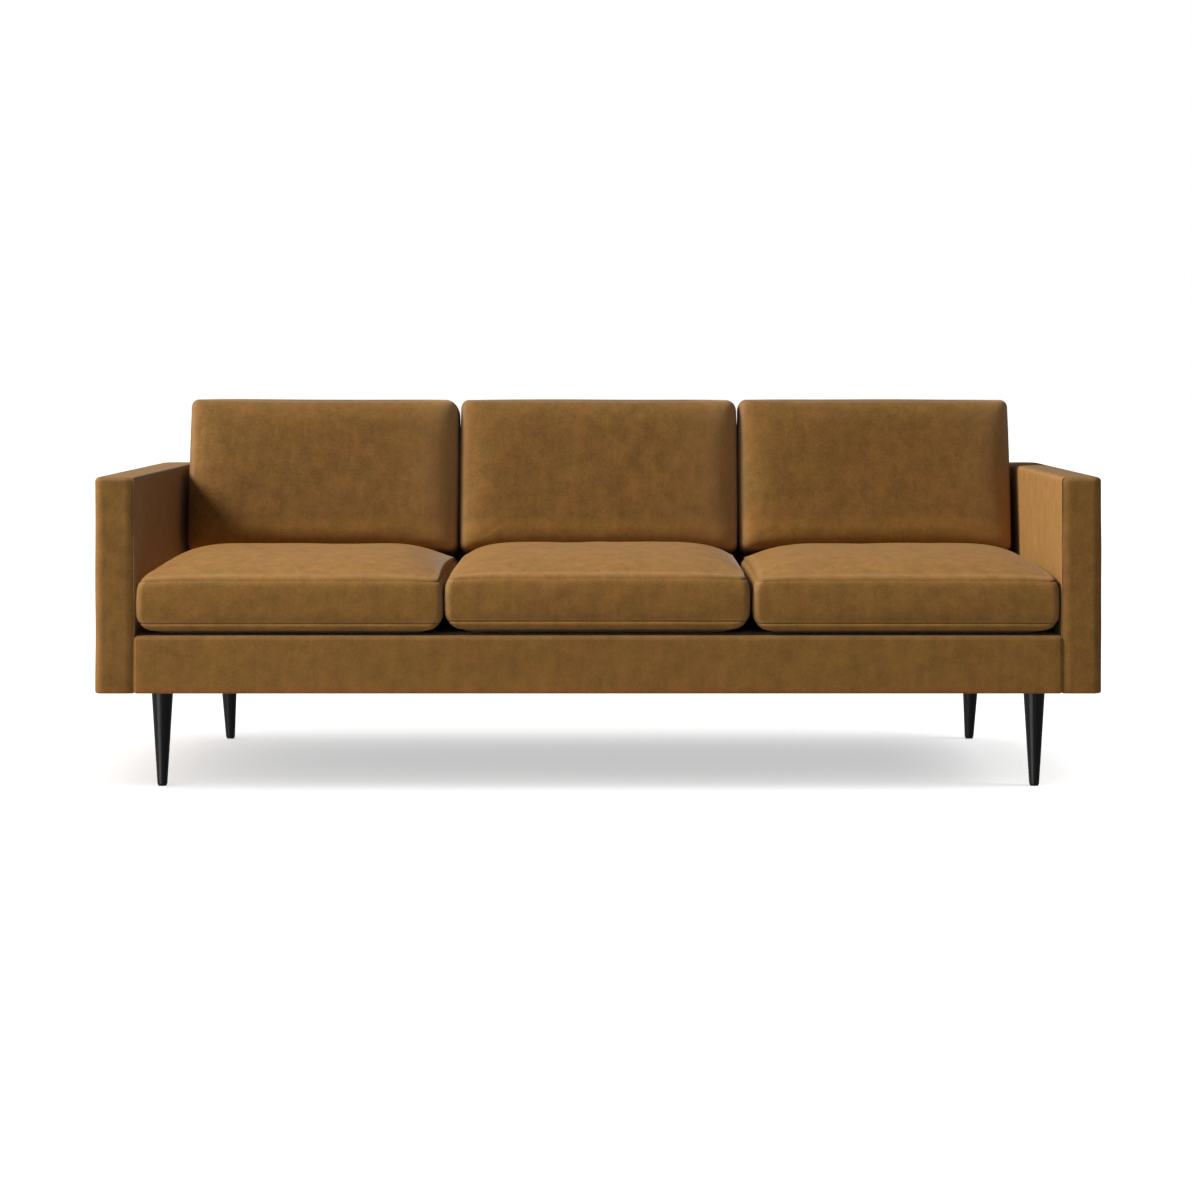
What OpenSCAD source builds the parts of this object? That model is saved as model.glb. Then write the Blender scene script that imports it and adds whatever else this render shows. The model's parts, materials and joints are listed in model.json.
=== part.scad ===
/* [Overall] */
// Width over both arms
sofa_w = 2184; // [1900:1:2400]
// Depth from the arm fronts to the outside back
sofa_d = 914; // [880:1:980]
// Height of the arms and of the back frame
arm_h = 678; // [640:1:740]
// Thickness of one upholstered arm
arm_t = 87; // [75:1:120]
// Height of the upholstered body above the floor
leg_h = 211; // [150:1:240]
// Height of the seat deck that the loose cushions lie on
deck_h = 334.5; // [320:0.5:350]
// Depth of the frame's back where it meets the deck
back_d = 194.3; // [170:0.1:220]

/* [Seat cushions] */
// Gap beside each seat cushion
seat_gap = 4; // [2:0.5:8]
// Height of the boxing band between the two seams
seat_band_h = 90; // [70:1:110]
// Height of the lower seam above the deck
seat_seam_h = 24; // [15:1:32]
// How far the top panel rises above the upper seam
seat_crown = 60; // [30:1:70]
// How far the boxing band bulges past its seams
seat_bulge = 4; // [1:0.5:8]
// How far each side is pulled in midway between its corners
seat_pull = 3; // [0:0.5:8]
// Corner radius seen from above
seat_corner_r = 34; // [15:1:60]

/* [Back cushions] */
// Gap between the row of back cushions and each arm
back_side_gap = 22; // [6:1:40]
// Height of a back cushion along its slope
back_h = 373; // [320:1:420]
// Thickness of a back cushion at its middle
back_t = 155; // [130:1:180]
// How far the front panel swells past its seam
back_crown = 34; // [15:1:45]
// How far the boxing band bulges past its seams
back_bulge = 4; // [1:0.5:8]
// How far each side is pulled in midway between its corners
back_pull = 3; // [0:0.5:8]
// Corner radius seen from the front
back_corner_r = 24; // [12:1:45]
// Gap between neighbouring back cushions
back_gap = 5; // [1:0.5:8]
// How far the row of back cushions is pushed to the right
back_shift = 4; // [-6:0.5:6]
// Recline of the back, in degrees
back_rake = 11; // [7:0.5:14]

/* [Legs] */
// Diameter at the top of a leg
leg_top_d = 47.4; // [38:0.2:56]
// Diameter at the foot of a leg
leg_foot_d = 21.5; // [19:0.5:30]
// Front leg centre, in from the side rail
front_leg_in = 25; // [25:1:60]
// Front leg centre, back from the front rail
front_leg_set = 36; // [30:1:60]
// Rear leg centre, in from the side rail
rear_leg_in = 69; // [30:1:110]
// Rear leg centre at its top, forward from the rear rail
rear_leg_set = 100; // [60:1:120]
// Rearward lean of the rear legs, in degrees
rear_leg_rake = 11; // [0:0.5:14]
// Thickness of the glide under each leg
glide_t = 2.5; // [2:0.5:5]

/* [Frame timber] */
// Thickness of the boards of the base
board_t = 25; // [20:1:30]
// Room over the two stretchers, for the springs to sink into
spring_room = 29; // [20:1:45]
// Width of an arm post, front to back
arm_post_w = 45; // [30:1:60]
// Height of an arm rail
arm_rail_h = 50; // [40:1:60]
// Width of a back post
back_post_w = 45; // [30:1:60]
// Height of the two back rails
back_rail_h = 45; // [32:1:52]
// Smallest side of a leg block
block_w = 90; // [84:1:110]

/* [Upholstery] */
// Thickness of the cover cloth with its backing
cover_t = 2; // [1:0.5:3]
// Padding round an arm
arm_pad_t = 14; // [8:1:18]
// Padding on the front rail
rail_pad_t = 8; // [5:1:12]
// Padding on the inside back
back_pad_t = 20; // [12:1:28]
// Padding on the outside back
outer_pad_t = 4; // [2:0.5:6]
// Foam under the deck cover
deck_pad_t = 12; // [8:1:13]
// Felt that keeps the foam off the springs
felt_t = 1.5; // [1:0.5:2.5]
// Thickness of the cloth under the base
dust_t = 1; // [0.6:0.2:1.6]
// Radius of the upholstered edges
edge_r = 9; // [5:1:13]

/* [Springs and webbing] */
// Springs under each seat
springs_per_seat = 3; // [2:1:5]
// Thickness of the spring wire
wire_t = 3.8; // [3:0.1:4]
// Half the width of a spring's waves
wave_a = 22; // [15:1:28]
// Length of half a wave, about
half_wave = 52; // [34:1:60]
// Diameter of a tie wire
tie_d = 3; // [2:0.5:4]
// Width of a back web
web_w = 50; // [40:1:60]
// Number of back webs
web_count = 3; // [2:1:4]
// Thickness of a back web
web_t = 2; // [1:0.5:3]

/* [Fasteners] */
// Diameter of the arm bolts and the hanger bolts
bolt_d = 8; // [6:1:10]
// Diameter of a plate screw
screw_d = 4; // [3:0.5:5]
// Diameter of a leg plate
plate_d = 76; // [70:1:80]
// Length of a plate screw
screw_l = 25; // [16:1:40]

/* [Hidden] */

// Colours of the cloth, timber, foam and metal
cloth_col = "#7f5c2e";
timber_col = "#c9a36b";
foam_col = "#e8dcb8";
dark_col = "#241c18";
metal_col = "#9a9a98";
felt_col = "#5b5b58";

// Clearances and the overrun of every cut
seam_clear = 0.3;
soft_clear = 0.6;
rest_clear = 0.4;
hole_clear = 0.15;
overrun = 5;

// Wall of a spring clip, its width and its length
clip_wall = 1.5;
clip_w = 16;
clip_l = 20;

// The bent wire lies loosely in its clip
wire_clear = 0.1;

// Board that stays free at each side of a clip
clip_set = 2.5;

// Places that follow from the driving sizes, with the front of the sofa at -front_y
front_y = sofa_d / 2;
back_y = sofa_d / 2;
inner_x = sofa_w / 2 - arm_t;
fit_x = inner_x - seam_clear;
board_z = leg_h + cover_t;
deck_low = deck_h - cover_t - deck_pad_t - felt_t;
clip_h = 2 * clip_wall + 2 * wire_clear + wire_t;
board_top = deck_low - clip_h;
rail_front_y = -front_y + cover_t + rail_pad_t;
rail_back_y = rail_front_y + board_t;
rear_back_y = back_y - cover_t - outer_pad_t;
rear_front_y = rear_back_y - board_t;
side_x = fit_x - board_t;

// Steps of every rounded outline corner, and sides of the round pieces
arc_steps = 5;
screw_sides = 13;
bolt_sides = 13;
plate_sides = 16;
leg_sides = 20;
hex_sides = 6;

// Fastener proportions
washer_t = 2;
washer_share = 2.2;
head_share = 1.6;
head_t_share = 0.65;
nut_share = 1.5;
nut_l = 18;
leg_bore_l = 35;
block_bore_l = 40;
bore_spare = 2;
screw_ring_share = 0.41;

// Side walls and sole of a cushion, between its cloth and its foam block
seat_wrap = 30;
core_top_set = 3;
core_low_share = 0.72;
back_wrap = 26;
back_core_low = 14;
back_core_set = 6;

// Shape of a cushion: rows of rings from the middle of a panel to its seam, as shares of the outline
top_ring_shares = [1, 0.985, 0.96, 0.92, 0.85, 0.72, 0.5, 0.25];
low_ring_shares = [0.65, 0.82, 0.95, 0.985, 1];
band_shares = [0.25, 0.75];
corner_steps = 3;
side_steps = 6;

// Exponents of the pillow curve of a seat panel and of a back panel
seat_edge_power = 5;
seat_edge_root = 0.55;
back_edge_power = 6;
back_edge_root = 0.5;

// The seat's top panel falls by this share towards its rear end, under the back cushion
seat_fall_share = 0.9;
seat_fall_power = 1.8;
seat_front_fall_share = 0.1;

// Depth of the round at the rear seam of a back cushion
back_rear_round = 12;

// How far past its flat sole a panel would swell if nothing pressed on it
sole_press_share = 1.1;

// Seat cushions
seat_w = (2 * inner_x - 4 * seat_gap) / 3;
seat_pitch = seat_w + seat_gap;
seat_front_set = 1;
back_foot_gap = 4.7;
seat_d = sofa_d - seat_front_set - back_foot_gap - back_d;
seat_y = -front_y + seat_front_set + seat_d / 2;
seat_hw = seat_w / 2 - seat_bulge;
seat_hd = seat_d / 2 - seat_bulge;
seat_low = deck_h + rest_clear;
seat_low_seam = deck_h + seat_seam_h;
seat_top_seam = seat_low_seam + seat_band_h;

// Sloping inside face of the back, where it meets the deck
back_foot_y = back_y - back_d;
back_w = (2 * inner_x - 2 * back_side_gap - 2 * back_gap) / 3;
back_pitch = back_w + back_gap;

// Layers of the back, each this far off behind its inside face, with a hair between sloping faces
slope_clear = 0.05;
pad_off = cover_t + slope_clear;
web_off = pad_off + back_pad_t + slope_clear;
frame_off = web_off + web_t + slope_clear;

function signs(q) = [[1, 1], [-1, 1], [-1, -1], [1, -1]][q % 4];

// One corner of a rounded rectangle with half sides hw and hd, starting at quarter q
function corner_points(hw, hd, r, q) = [
    for (j = [0:corner_steps])
        let (a = 90 * (q + j / corner_steps))
        [signs(q)[0] * (hw - r) + r * cos(a), signs(q)[1] * (hd - r) + r * sin(a)]
];

// The side after that corner, pulled in midway
function side_points(hw, hd, r, pull, q) =
    let (
        a = 90 * (q + 1),
        start = [signs(q)[0] * (hw - r), signs(q)[1] * (hd - r)] + r * [cos(a), sin(a)],
        stop = [signs(q + 1)[0] * (hw - r), signs(q + 1)[1] * (hd - r)] + r * [cos(a), sin(a)]
    )
    [
        for (k = [1:side_steps - 1])
            let (f = k / side_steps)
            start + f * (stop - start) - pull * sin(180 * f) * [cos(a), sin(a)]
    ];

// Whole outline of a cushion, anticlockwise from its right rear corner
function cushion_outline(hw, hd, r, pull) = [
    for (q = [0:3])
        each concat(corner_points(hw, hd, r, q), side_points(hw, hd, r, pull, q))
];

// Pillow curve: 0 at the seam and 1 in the middle
function pillow(s, power, root) = pow(max(0, 1 - pow(s, power)), root);

// Share of the crown that a seat keeps at v, from -1 at its front to 1 at its rear
function seat_fall(v) =
    v > 0 ? 1 - seat_fall_share * pow(v, seat_fall_power) : 1 - seat_front_fall_share * v * v;

// Height of a seat's top panel at share s of the outline and at v
function seat_top(s, v) =
    seat_top_seam + seat_crown * pillow(s, seat_edge_power, seat_edge_root) * seat_fall(v);

// Height of a seat's sole at share s: flat where it rests on the deck
function seat_sole(s) =
    let (drop = seat_low_seam - seat_low)
    max(seat_low, seat_low_seam - sole_press_share * drop * pillow(s, seat_edge_power, seat_edge_root));

// Thickness coordinate of a back cushion's front and rear panels at share s
function back_front(s) =
    back_t - back_crown + back_crown * pillow(s, back_edge_power, back_edge_root);
function back_rear(s) =
    max(0, back_rear_round * (1 - sole_press_share * pillow(s, back_edge_power, back_edge_root)));

// Rings of a cushion from the middle of its sole to the middle of its top: each is [outline, heights]
function scaled(points, s) = [for (p = points) s * p];
function raised(points, heights) = [for (i = [0:len(points) - 1]) [points[i][0], points[i][1], heights[i]]];
function level(points, z) = [for (p = points) [p[0], p[1], z]];

function seat_rings() =
    let (seam = cushion_outline(seat_hw, seat_hd, seat_corner_r, seat_pull),
         band = cushion_outline(seat_hw + seat_bulge, seat_hd + seat_bulge, seat_corner_r, seat_pull))
    concat(
        [for (s = low_ring_shares) level(scaled(seam, s), seat_sole(s))],
        [for (b = band_shares) level(band, seat_low_seam + b * seat_band_h)],
        [for (s = top_ring_shares)
            raised(scaled(seam, s), [for (p = seam) seat_top(s, s * p[1] / seat_hd)])]
    );

function back_rings() =
    let (hw = back_w / 2, hd = back_h / 2,
         seam = cushion_outline(hw - back_bulge, hd - back_bulge, back_corner_r, back_pull),
         band = cushion_outline(hw, hd, back_corner_r, back_pull),
         band_t = back_t - back_crown - back_rear_round)
    concat(
        [for (s = low_ring_shares) level(scaled(seam, s), back_rear(s))],
        [for (b = band_shares) level(band, back_rear_round + b * band_t)],
        [for (s = top_ring_shares) level(scaled(seam, s), back_front(s))]
    );

// Closed skin over a stack of rings, with a fan at each end
module ring_skin(rings, low_z, top_z) {
    n = len(rings[0]);
    last = len(rings) - 1;
    points = concat([[0, 0, low_z]], [for (ring = rings) each ring], [[0, 0, top_z]]);
    top_point = len(points) - 1;
    faces = concat(
        [for (j = [0:n - 1]) [0, 1 + j, 1 + (j + 1) % n]],
        [for (i = [0:last - 1], j = [0:n - 1])
            [1 + i * n + j, 1 + (i + 1) * n + j, 1 + (i + 1) * n + (j + 1) % n]],
        [for (i = [0:last - 1], j = [0:n - 1])
            [1 + i * n + j, 1 + (i + 1) * n + (j + 1) % n, 1 + i * n + (j + 1) % n]],
        [for (j = [0:n - 1]) [top_point, 1 + last * n + (j + 1) % n, 1 + last * n + j]]
    );
    polyhedron(points, faces, convexity = 4);
}

// Sloping plane of the inside back: the y of a surface that lies off behind it, at height z
function rake_y(z, off) = back_foot_y + (z - deck_h) * tan(back_rake) + off / cos(back_rake);

// The back cushions start this far up the slope, just clear of the seat cushions under them
function foot_need(u) = max([
    for (k = [0:12])
        let (
            t = back_t * k / 12,
            y = back_foot_y + u * sin(back_rake) - t * cos(back_rake),
            v = min(1, max(0, (y - seat_y) / seat_hd))
        )
        (seat_top(v, v) + soft_clear - deck_h - t * sin(back_rake)) / cos(back_rake)
]);
back_start = foot_need(foot_need((seat_top_seam - deck_h) / cos(back_rake)));

// Box from one corner to the other
module block(low, high) {
    translate(low) cube(high - low);
}

// Outline in y and z, extruded in x
module across(x_low, x_high, outline) {
    translate([x_low, 0, 0]) rotate([90, 0, 90]) linear_extrude(x_high - x_low) polygon(outline);
}

// Quarter round from angle a to angle a + turn, about a centre
function quarter(centre, r, a, turn) = [
    for (i = [0:arc_steps]) centre + r * [cos(a + turn * i / arc_steps), sin(a + turn * i / arc_steps)]
];

// Directions over one eighth of a ball, in three steps along each edge
edge_turns = [[1, 0], [cos(30), sin(30)], [cos(60), sin(60)], [0, 1]];
ball_turns = concat(
    [for (t = edge_turns) [t[0], t[1], 0]],
    [for (t = edge_turns) [0, t[0], t[1]]],
    [for (t = edge_turns) [t[1], 0, t[0]]],
    [[1, 1, 1] / sqrt(3)]
);

// Block with round edges, for padded pieces
module soft_block(low, high, r) {
    hull() for (d = ball_turns) block(low + r * ([1, 1, 1] - d), high - r * ([1, 1, 1] - d));
}

// Places of the four legs at the underside of the body, and the lean of each
leg_places = [
    [front_leg_in - side_x, rail_back_y + front_leg_set],
    [side_x - front_leg_in, rail_back_y + front_leg_set],
    [rear_leg_in - side_x, rear_front_y - rear_leg_set],
    [side_x - rear_leg_in, rear_front_y - rear_leg_set]
];

leg_rakes = [0, 0, rear_leg_rake, rear_leg_rake];

// Frame of a leg: its origin in the top face of the leg, its z axis up along the leg
module along_leg(i) {
    translate([leg_places[i][0], leg_places[i][1], leg_h]) rotate([leg_rakes[i], 0, 0]) children();
}

// Bore for a hanger bolt, from depth below the top of a leg to a height above it
module bolt_bore(i, below, above) {
    along_leg(i) translate([0, 0, -below])
        cylinder(h = below + above, d = bolt_d + 2 * hole_clear, $fn = bolt_sides);
}

// Base boards
module front_rail() {
    color(timber_col) block([-fit_x, rail_front_y, board_z], [fit_x, rail_back_y, board_top]);
}

module rear_rail() {
    color(timber_col) block([-fit_x, rear_front_y, board_z], [fit_x, rear_back_y, board_top]);
}

spring_rail_back = rake_y(board_z, frame_off);

module spring_rail() {
    color(timber_col)
        block([-side_x, spring_rail_back - board_t, board_z], [side_x, spring_rail_back, board_top]);
}

module side_rail(side) {
    color(timber_col) difference() {
        mirror([side < 0 ? 1 : 0, 0, 0])
            block([side_x, rail_back_y, board_z], [fit_x, rear_front_y, board_top]);
        arm_bolt_holes();
    }
}

module stretchers() {
    color(timber_col) for (x = [-seat_pitch / 2, seat_pitch / 2])
        block([x - board_t / 2, rail_back_y, board_z],
              [x + board_t / 2, spring_rail_back - board_t, board_top - spring_room]);
}

// Blocks in the corners of the base, drilled for the hanger bolts and the plate screws
module leg_block(i) {
    p = leg_places[i];
    in_x = abs(p[0]) - block_w / 2;
    near_y = i < 2 ? rail_back_y : p[1] - block_w / 2;
    far_y = i < 2 ? p[1] + block_w / 2 : rear_front_y;
    difference() {
        mirror([p[0] < 0 ? 1 : 0, 0, 0]) block([in_x, near_y, board_z], [side_x, far_y, board_top]);
        bolt_bore(i, overrun, cover_t + block_bore_l + bore_spare);
        at_screws(p)
            translate([0, 0, board_z - overrun])
                cylinder(h = overrun + screw_l + bore_spare, d = screw_d + 2 * hole_clear, $fn = screw_sides);
    }
}

module leg_blocks() {
    color(timber_col) for (i = [0:3]) leg_block(i);
}

module at_screws(p) {
    ring = plate_d * screw_ring_share;
    for (a = [45:90:315]) translate([p[0] + ring * cos(a), p[1] + ring * sin(a), 0]) children();
}

module leg_plate(i) {
    p = leg_places[i];
    difference() {
        translate([p[0], p[1], leg_h]) cylinder(h = cover_t, d = plate_d, $fn = plate_sides);
        bolt_bore(i, overrun, cover_t + overrun);
        at_screws(p)
            translate([0, 0, leg_h - overrun])
                cylinder(h = cover_t + 2 * overrun, d = screw_d + 2 * hole_clear, $fn = screw_sides);
    }
}

module leg_plates() {
    color(metal_col) for (i = [0:3]) leg_plate(i);
}

// Each screw has a flat head under its plate
module plate_screws() {
    head_t = screw_d * head_t_share;
    color(metal_col) for (p = leg_places) at_screws(p) {
        translate([0, 0, leg_h]) cylinder(h = cover_t + screw_l, d = screw_d, $fn = screw_sides);
        translate([0, 0, leg_h - head_t]) cylinder(h = head_t, d = screw_d * head_share, $fn = screw_sides);
    }
}

// Double-ended bolts that hold each leg to its block
module hanger_bolts() {
    color(metal_col) for (i = [0:3]) along_leg(i)
        translate([0, 0, -leg_bore_l])
            cylinder(h = leg_bore_l + cover_t + block_bore_l, d = bolt_d, $fn = bolt_sides);
}

// One turned, tapered leg with the bore for its bolt, cut level at its top and at its foot
module leg(i) {
    p = leg_places[i];
    len = (leg_h - glide_t) / cos(leg_rakes[i]);
    past = leg_top_d * sin(leg_rakes[i]);
    slope = (leg_top_d - leg_foot_d) / len;
    color(dark_col) difference() {
        intersection() {
            along_leg(i) translate([0, 0, -len - past])
                cylinder(h = len + 2 * past, d1 = leg_foot_d - slope * past,
                         d2 = leg_top_d + slope * past, $fn = leg_sides);
            block([p[0] - leg_top_d, p[1] - leg_h, glide_t], [p[0] + leg_top_d, p[1] + leg_h, leg_h]);
        }
        bolt_bore(i, leg_bore_l + bore_spare, overrun);
    }
}

// Each glide lies under the middle of its foot
module leg_glides() {
    color(dark_col) for (i = [0:3])
        translate([leg_places[i][0], leg_places[i][1] + (leg_h - glide_t) * tan(leg_rakes[i]), 0])
            cylinder(h = glide_t, d = leg_foot_d - glide_t, $fn = plate_sides);
}

// Spring centres under the three seats
spring_spread = seat_w / springs_per_seat;
spring_xs = [
    for (seat = [-1:1], k = [0:springs_per_seat - 1])
        seat * seat_pitch + (k - (springs_per_seat - 1) / 2) * spring_spread
];
wire_z = board_top + clip_wall + wire_clear;
wire_start = rail_back_y - clip_set - clip_l / 2;
wire_stop = spring_rail_back - board_t + clip_set + clip_l / 2;
wave_start = rail_back_y + clip_l;
wave_stop = spring_rail_back - board_t - clip_l;
wave_halves = floor((wave_stop - wave_start) / half_wave);
wave_steps = 3;

// Flat wave of bent wire between two straight tails
function wave_x(y) = wave_a * sin(180 * wave_halves * (y - wave_start) / (wave_stop - wave_start));
function wave_slope(y) =
    let (turn = 180 * wave_halves / (wave_stop - wave_start))
    wave_a * turn * PI / 180 * cos(turn * (y - wave_start));
function wave_edge(side) = [
    for (i = [0:wave_halves * wave_steps])
        let (
            y = wave_start + (wave_stop - wave_start) * i / (wave_halves * wave_steps),
            m = wave_slope(y),
            n = sqrt(1 + m * m)
        )
        [wave_x(y) + side * wire_t / 2 / n, y - side * wire_t / 2 * m / n]
];
function reversed(list) = [for (i = [len(list) - 1:-1:0]) list[i]];

module seat_spring() {
    translate([0, 0, wire_z]) linear_extrude(wire_t) polygon(concat(
        [[wire_t / 2, wire_start]], wave_edge(1), [[wire_t / 2, wire_stop], [-wire_t / 2, wire_stop]],
        reversed(wave_edge(-1)), [[-wire_t / 2, wire_start]]
    ));
}

module seat_springs() {
    color(metal_col) for (x = spring_xs) translate([x, 0, 0]) seat_spring();
}

// Folded clip that grips the end of a spring: open towards the spring
module spring_clip(y, open_side) {
    slot = wire_t + 2 * wire_clear;
    difference() {
        block([-clip_w / 2, y - clip_l / 2, board_top], [clip_w / 2, y + clip_l / 2, deck_low]);
        translate([0, open_side * (clip_l / 2 - clip_wall), 0])
            block([-clip_w, y - clip_l / 2, board_top + clip_wall],
                  [clip_w, y + clip_l / 2, board_top + clip_wall + slot]);
    }
}

module spring_clips() {
    color(metal_col) for (x = spring_xs) translate([x, 0, 0]) {
        spring_clip(rail_back_y - clip_set - clip_l / 2, 1);
        spring_clip(spring_rail_back - board_t + clip_set + clip_l / 2, -1);
    }
}

// Two wires under the springs, from side rail to side rail
module tie_wires() {
    run = wire_stop - wire_start;
    color(metal_col) for (f = [1 / 3, 2 / 3])
        translate([-side_x, wire_start + f * run, wire_z - wire_clear - tie_d / 2])
            rotate([0, 90, 0]) cylinder(h = 2 * side_x, d = tie_d, $fn = screw_sides);
}

// Layers of the deck, from the springs up to the deck cover
deck_back_y = rake_y(deck_low, 0) - seam_clear;

module deck_layer(z_low, z_high) {
    block([-fit_x, rail_back_y, z_low], [fit_x, deck_back_y, z_high]);
}

module deck_felt() {
    color(felt_col) deck_layer(deck_low, deck_low + felt_t);
}

module deck_pad() {
    color(foam_col) deck_layer(deck_low + felt_t, deck_h - cover_t);
}

module deck_cover() {
    color(cloth_col) deck_layer(deck_h - cover_t, deck_h);
}

// Padding over the front and top of the front rail, and the cover over it
module front_rail_pad() {
    low = board_z;
    r = edge_r - cover_t;
    y = -front_y + cover_t;
    top = deck_h - cover_t;
    color(foam_col) across(-fit_x, fit_x, concat(
        [[y, low]], quarter([y + r, top - r], r, 180, -90),
        [[rail_back_y, top], [rail_back_y, deck_low], [rail_front_y, deck_low], [rail_front_y, low]]
    ));
}

module front_rail_cover() {
    r = edge_r - cover_t;
    y = -front_y;
    color(cloth_col) across(-fit_x, fit_x, concat(
        [[rail_back_y - board_t / 2, leg_h], [y, leg_h]],
        quarter([y + edge_r, deck_h - edge_r], edge_r, 180, -90),
        [[rail_back_y, deck_h], [rail_back_y, deck_h - cover_t]],
        reversed(quarter([y + edge_r, deck_h - edge_r], r, 180, -90)),
        [[y + cover_t, board_z], [rail_back_y - board_t / 2, board_z]]
    ));
}

// Thin cloth under the base, cut out round the leg plates
module dust_cover() {
    color(dark_col) difference() {
        block([-fit_x, rail_back_y - board_t / 2 + seam_clear, board_z - dust_t],
              [fit_x, rear_front_y + board_t / 2 - seam_clear, board_z]);
        for (p = leg_places) translate([p[0], p[1], board_z - dust_t - overrun])
            cylinder(h = dust_t + 2 * overrun, d = plate_d + 2 * seam_clear, $fn = plate_sides);
    }
}

// Arms: the left one is on the -x side
arm_in = cover_t + arm_pad_t;
arm_low_x = inner_x + arm_in;
arm_high_x = sofa_w / 2 - arm_in;
arm_low_y = -front_y + arm_in;
arm_high_y = back_y - arm_in;
arm_high_z = arm_h - arm_in;

module on_side(side) {
    mirror([side < 0 ? 1 : 0, 0, 0]) children();
}

// The padded block that the cover of the right arm is sewn to fit
module arm_inside() {
    soft_block([inner_x + cover_t, -front_y + cover_t, board_z],
               [sofa_w / 2 - cover_t, back_y - cover_t, arm_h - cover_t], edge_r - cover_t);
}

module arm_front_post(side) {
    color(timber_col) on_side(side)
        block([arm_low_x, arm_low_y, board_z + arm_rail_h],
              [arm_high_x, arm_low_y + arm_post_w, arm_high_z - arm_rail_h]);
}

module arm_rear_post(side) {
    color(timber_col) on_side(side)
        block([arm_low_x, arm_high_y - arm_post_w, board_z + arm_rail_h],
              [arm_high_x, arm_high_y, arm_high_z - arm_rail_h]);
}

module arm_top_rail(side) {
    color(timber_col) on_side(side)
        block([arm_low_x, arm_low_y, arm_high_z - arm_rail_h], [arm_high_x, arm_high_y, arm_high_z]);
}

module arm_bottom_rail(side) {
    color(timber_col) on_side(side) difference() {
        block([arm_low_x, arm_low_y, board_z], [arm_high_x, arm_high_y, board_z + arm_rail_h]);
        arm_bolt_holes();
        at_arm_bolts()
            translate([arm_low_x - overrun, 0, 0]) rotate([0, 90, 0])
                cylinder(h = nut_l + overrun, d = bolt_d * nut_share + 2 * hole_clear, $fn = bolt_sides);
    }
}

module arm_pad(side) {
    color(foam_col) on_side(side) difference() {
        arm_inside();
        block([arm_low_x, arm_low_y, board_z - overrun], [arm_high_x, arm_high_y, arm_high_z]);
        arm_bolt_holes();
    }
}

module arm_cover(side) {
    color(cloth_col) on_side(side) difference() {
        soft_block([inner_x, -front_y, leg_h], [sofa_w / 2, back_y, arm_h], edge_r);
        arm_inside();
        arm_bolt_holes();
    }
}

// Bolts through each side rail into the arm's bottom rail
arm_bolt_z = board_z + arm_rail_h / 2;
arm_bolt_ys = [
    leg_places[0][1] + block_w,
    0,
    spring_rail_back - board_t - bolt_d * washer_share
];
arm_bolt_end = arm_low_x + nut_l;

module at_arm_bolts() {
    for (y = arm_bolt_ys) translate([0, y, arm_bolt_z]) children();
}

module arm_bolt_holes() {
    for (side = [-1, 1]) on_side(side) at_arm_bolts()
        translate([side_x - overrun, 0, 0]) rotate([0, 90, 0])
            cylinder(h = arm_bolt_end + bore_spare + overrun - side_x,
                     d = bolt_d + 2 * hole_clear, $fn = bolt_sides);
}

module arm_bolts() {
    head_t = bolt_d * head_t_share;
    color(metal_col) for (side = [-1, 1]) on_side(side) at_arm_bolts() rotate([0, 90, 0]) {
        translate([0, 0, side_x - washer_t])
            cylinder(h = arm_bolt_end - side_x + washer_t, d = bolt_d, $fn = bolt_sides);
        translate([0, 0, side_x - washer_t - head_t])
            cylinder(h = head_t, d = bolt_d * head_share, $fn = hex_sides);
    }
}

module arm_washers() {
    color(metal_col) for (side = [-1, 1]) on_side(side) at_arm_bolts() rotate([0, 90, 0])
        translate([0, 0, side_x - washer_t]) difference() {
            cylinder(h = washer_t, d = bolt_d * washer_share, $fn = bolt_sides);
            translate([0, 0, -overrun])
                cylinder(h = washer_t + 2 * overrun, d = bolt_d + 2 * hole_clear, $fn = bolt_sides);
        }
}

// Sleeve nuts let into the arm rails
module arm_nuts() {
    color(metal_col) for (side = [-1, 1]) on_side(side) at_arm_bolts() rotate([0, 90, 0])
        translate([0, 0, arm_low_x]) difference() {
            cylinder(h = nut_l, d = bolt_d * nut_share, $fn = bolt_sides);
            translate([0, 0, -overrun])
                cylinder(h = nut_l + 2 * overrun, d = bolt_d + 2 * hole_clear, $fn = bolt_sides);
        }
}

// Back frame: every piece starts on the sloping plane, off behind the inside face
back_top_z = arm_h - cover_t - arm_pad_t;

function raked_outline(z_low, z_high, off) = [
    [rake_y(z_low, off), z_low], [rake_y(z_high, off), z_high],
    [rear_back_y, z_high], [rear_back_y, z_low]
];

// Round between the sloping face and the top of the back, for the cloth or for what is under it
function back_edge(r) =
    quarter([rake_y(arm_h - edge_r, edge_r), arm_h - edge_r], r, 180 - back_rake, back_rake - 90);

module back_bottom_rail() {
    color(timber_col)
        across(-fit_x, fit_x, raked_outline(board_top, board_top + back_rail_h, frame_off));
}

module back_top_rail() {
    color(timber_col)
        across(-fit_x, fit_x, raked_outline(back_top_z - back_rail_h, back_top_z, frame_off));
}

module back_posts() {
    outer = fit_x - back_post_w / 2;
    color(timber_col) for (x = [-outer, -seat_pitch / 2, seat_pitch / 2, outer])
        across(x - back_post_w / 2, x + back_post_w / 2,
               raked_outline(board_top + back_rail_h, back_top_z - back_rail_h, frame_off));
}

// Strip that lies along the slope between two offsets
function slope_strip(z_low, z_high, near, far) = [
    [rake_y(z_low, near), z_low], [rake_y(z_high, near), z_high],
    [rake_y(z_high, far), z_high], [rake_y(z_low, far), z_low]
];

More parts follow.
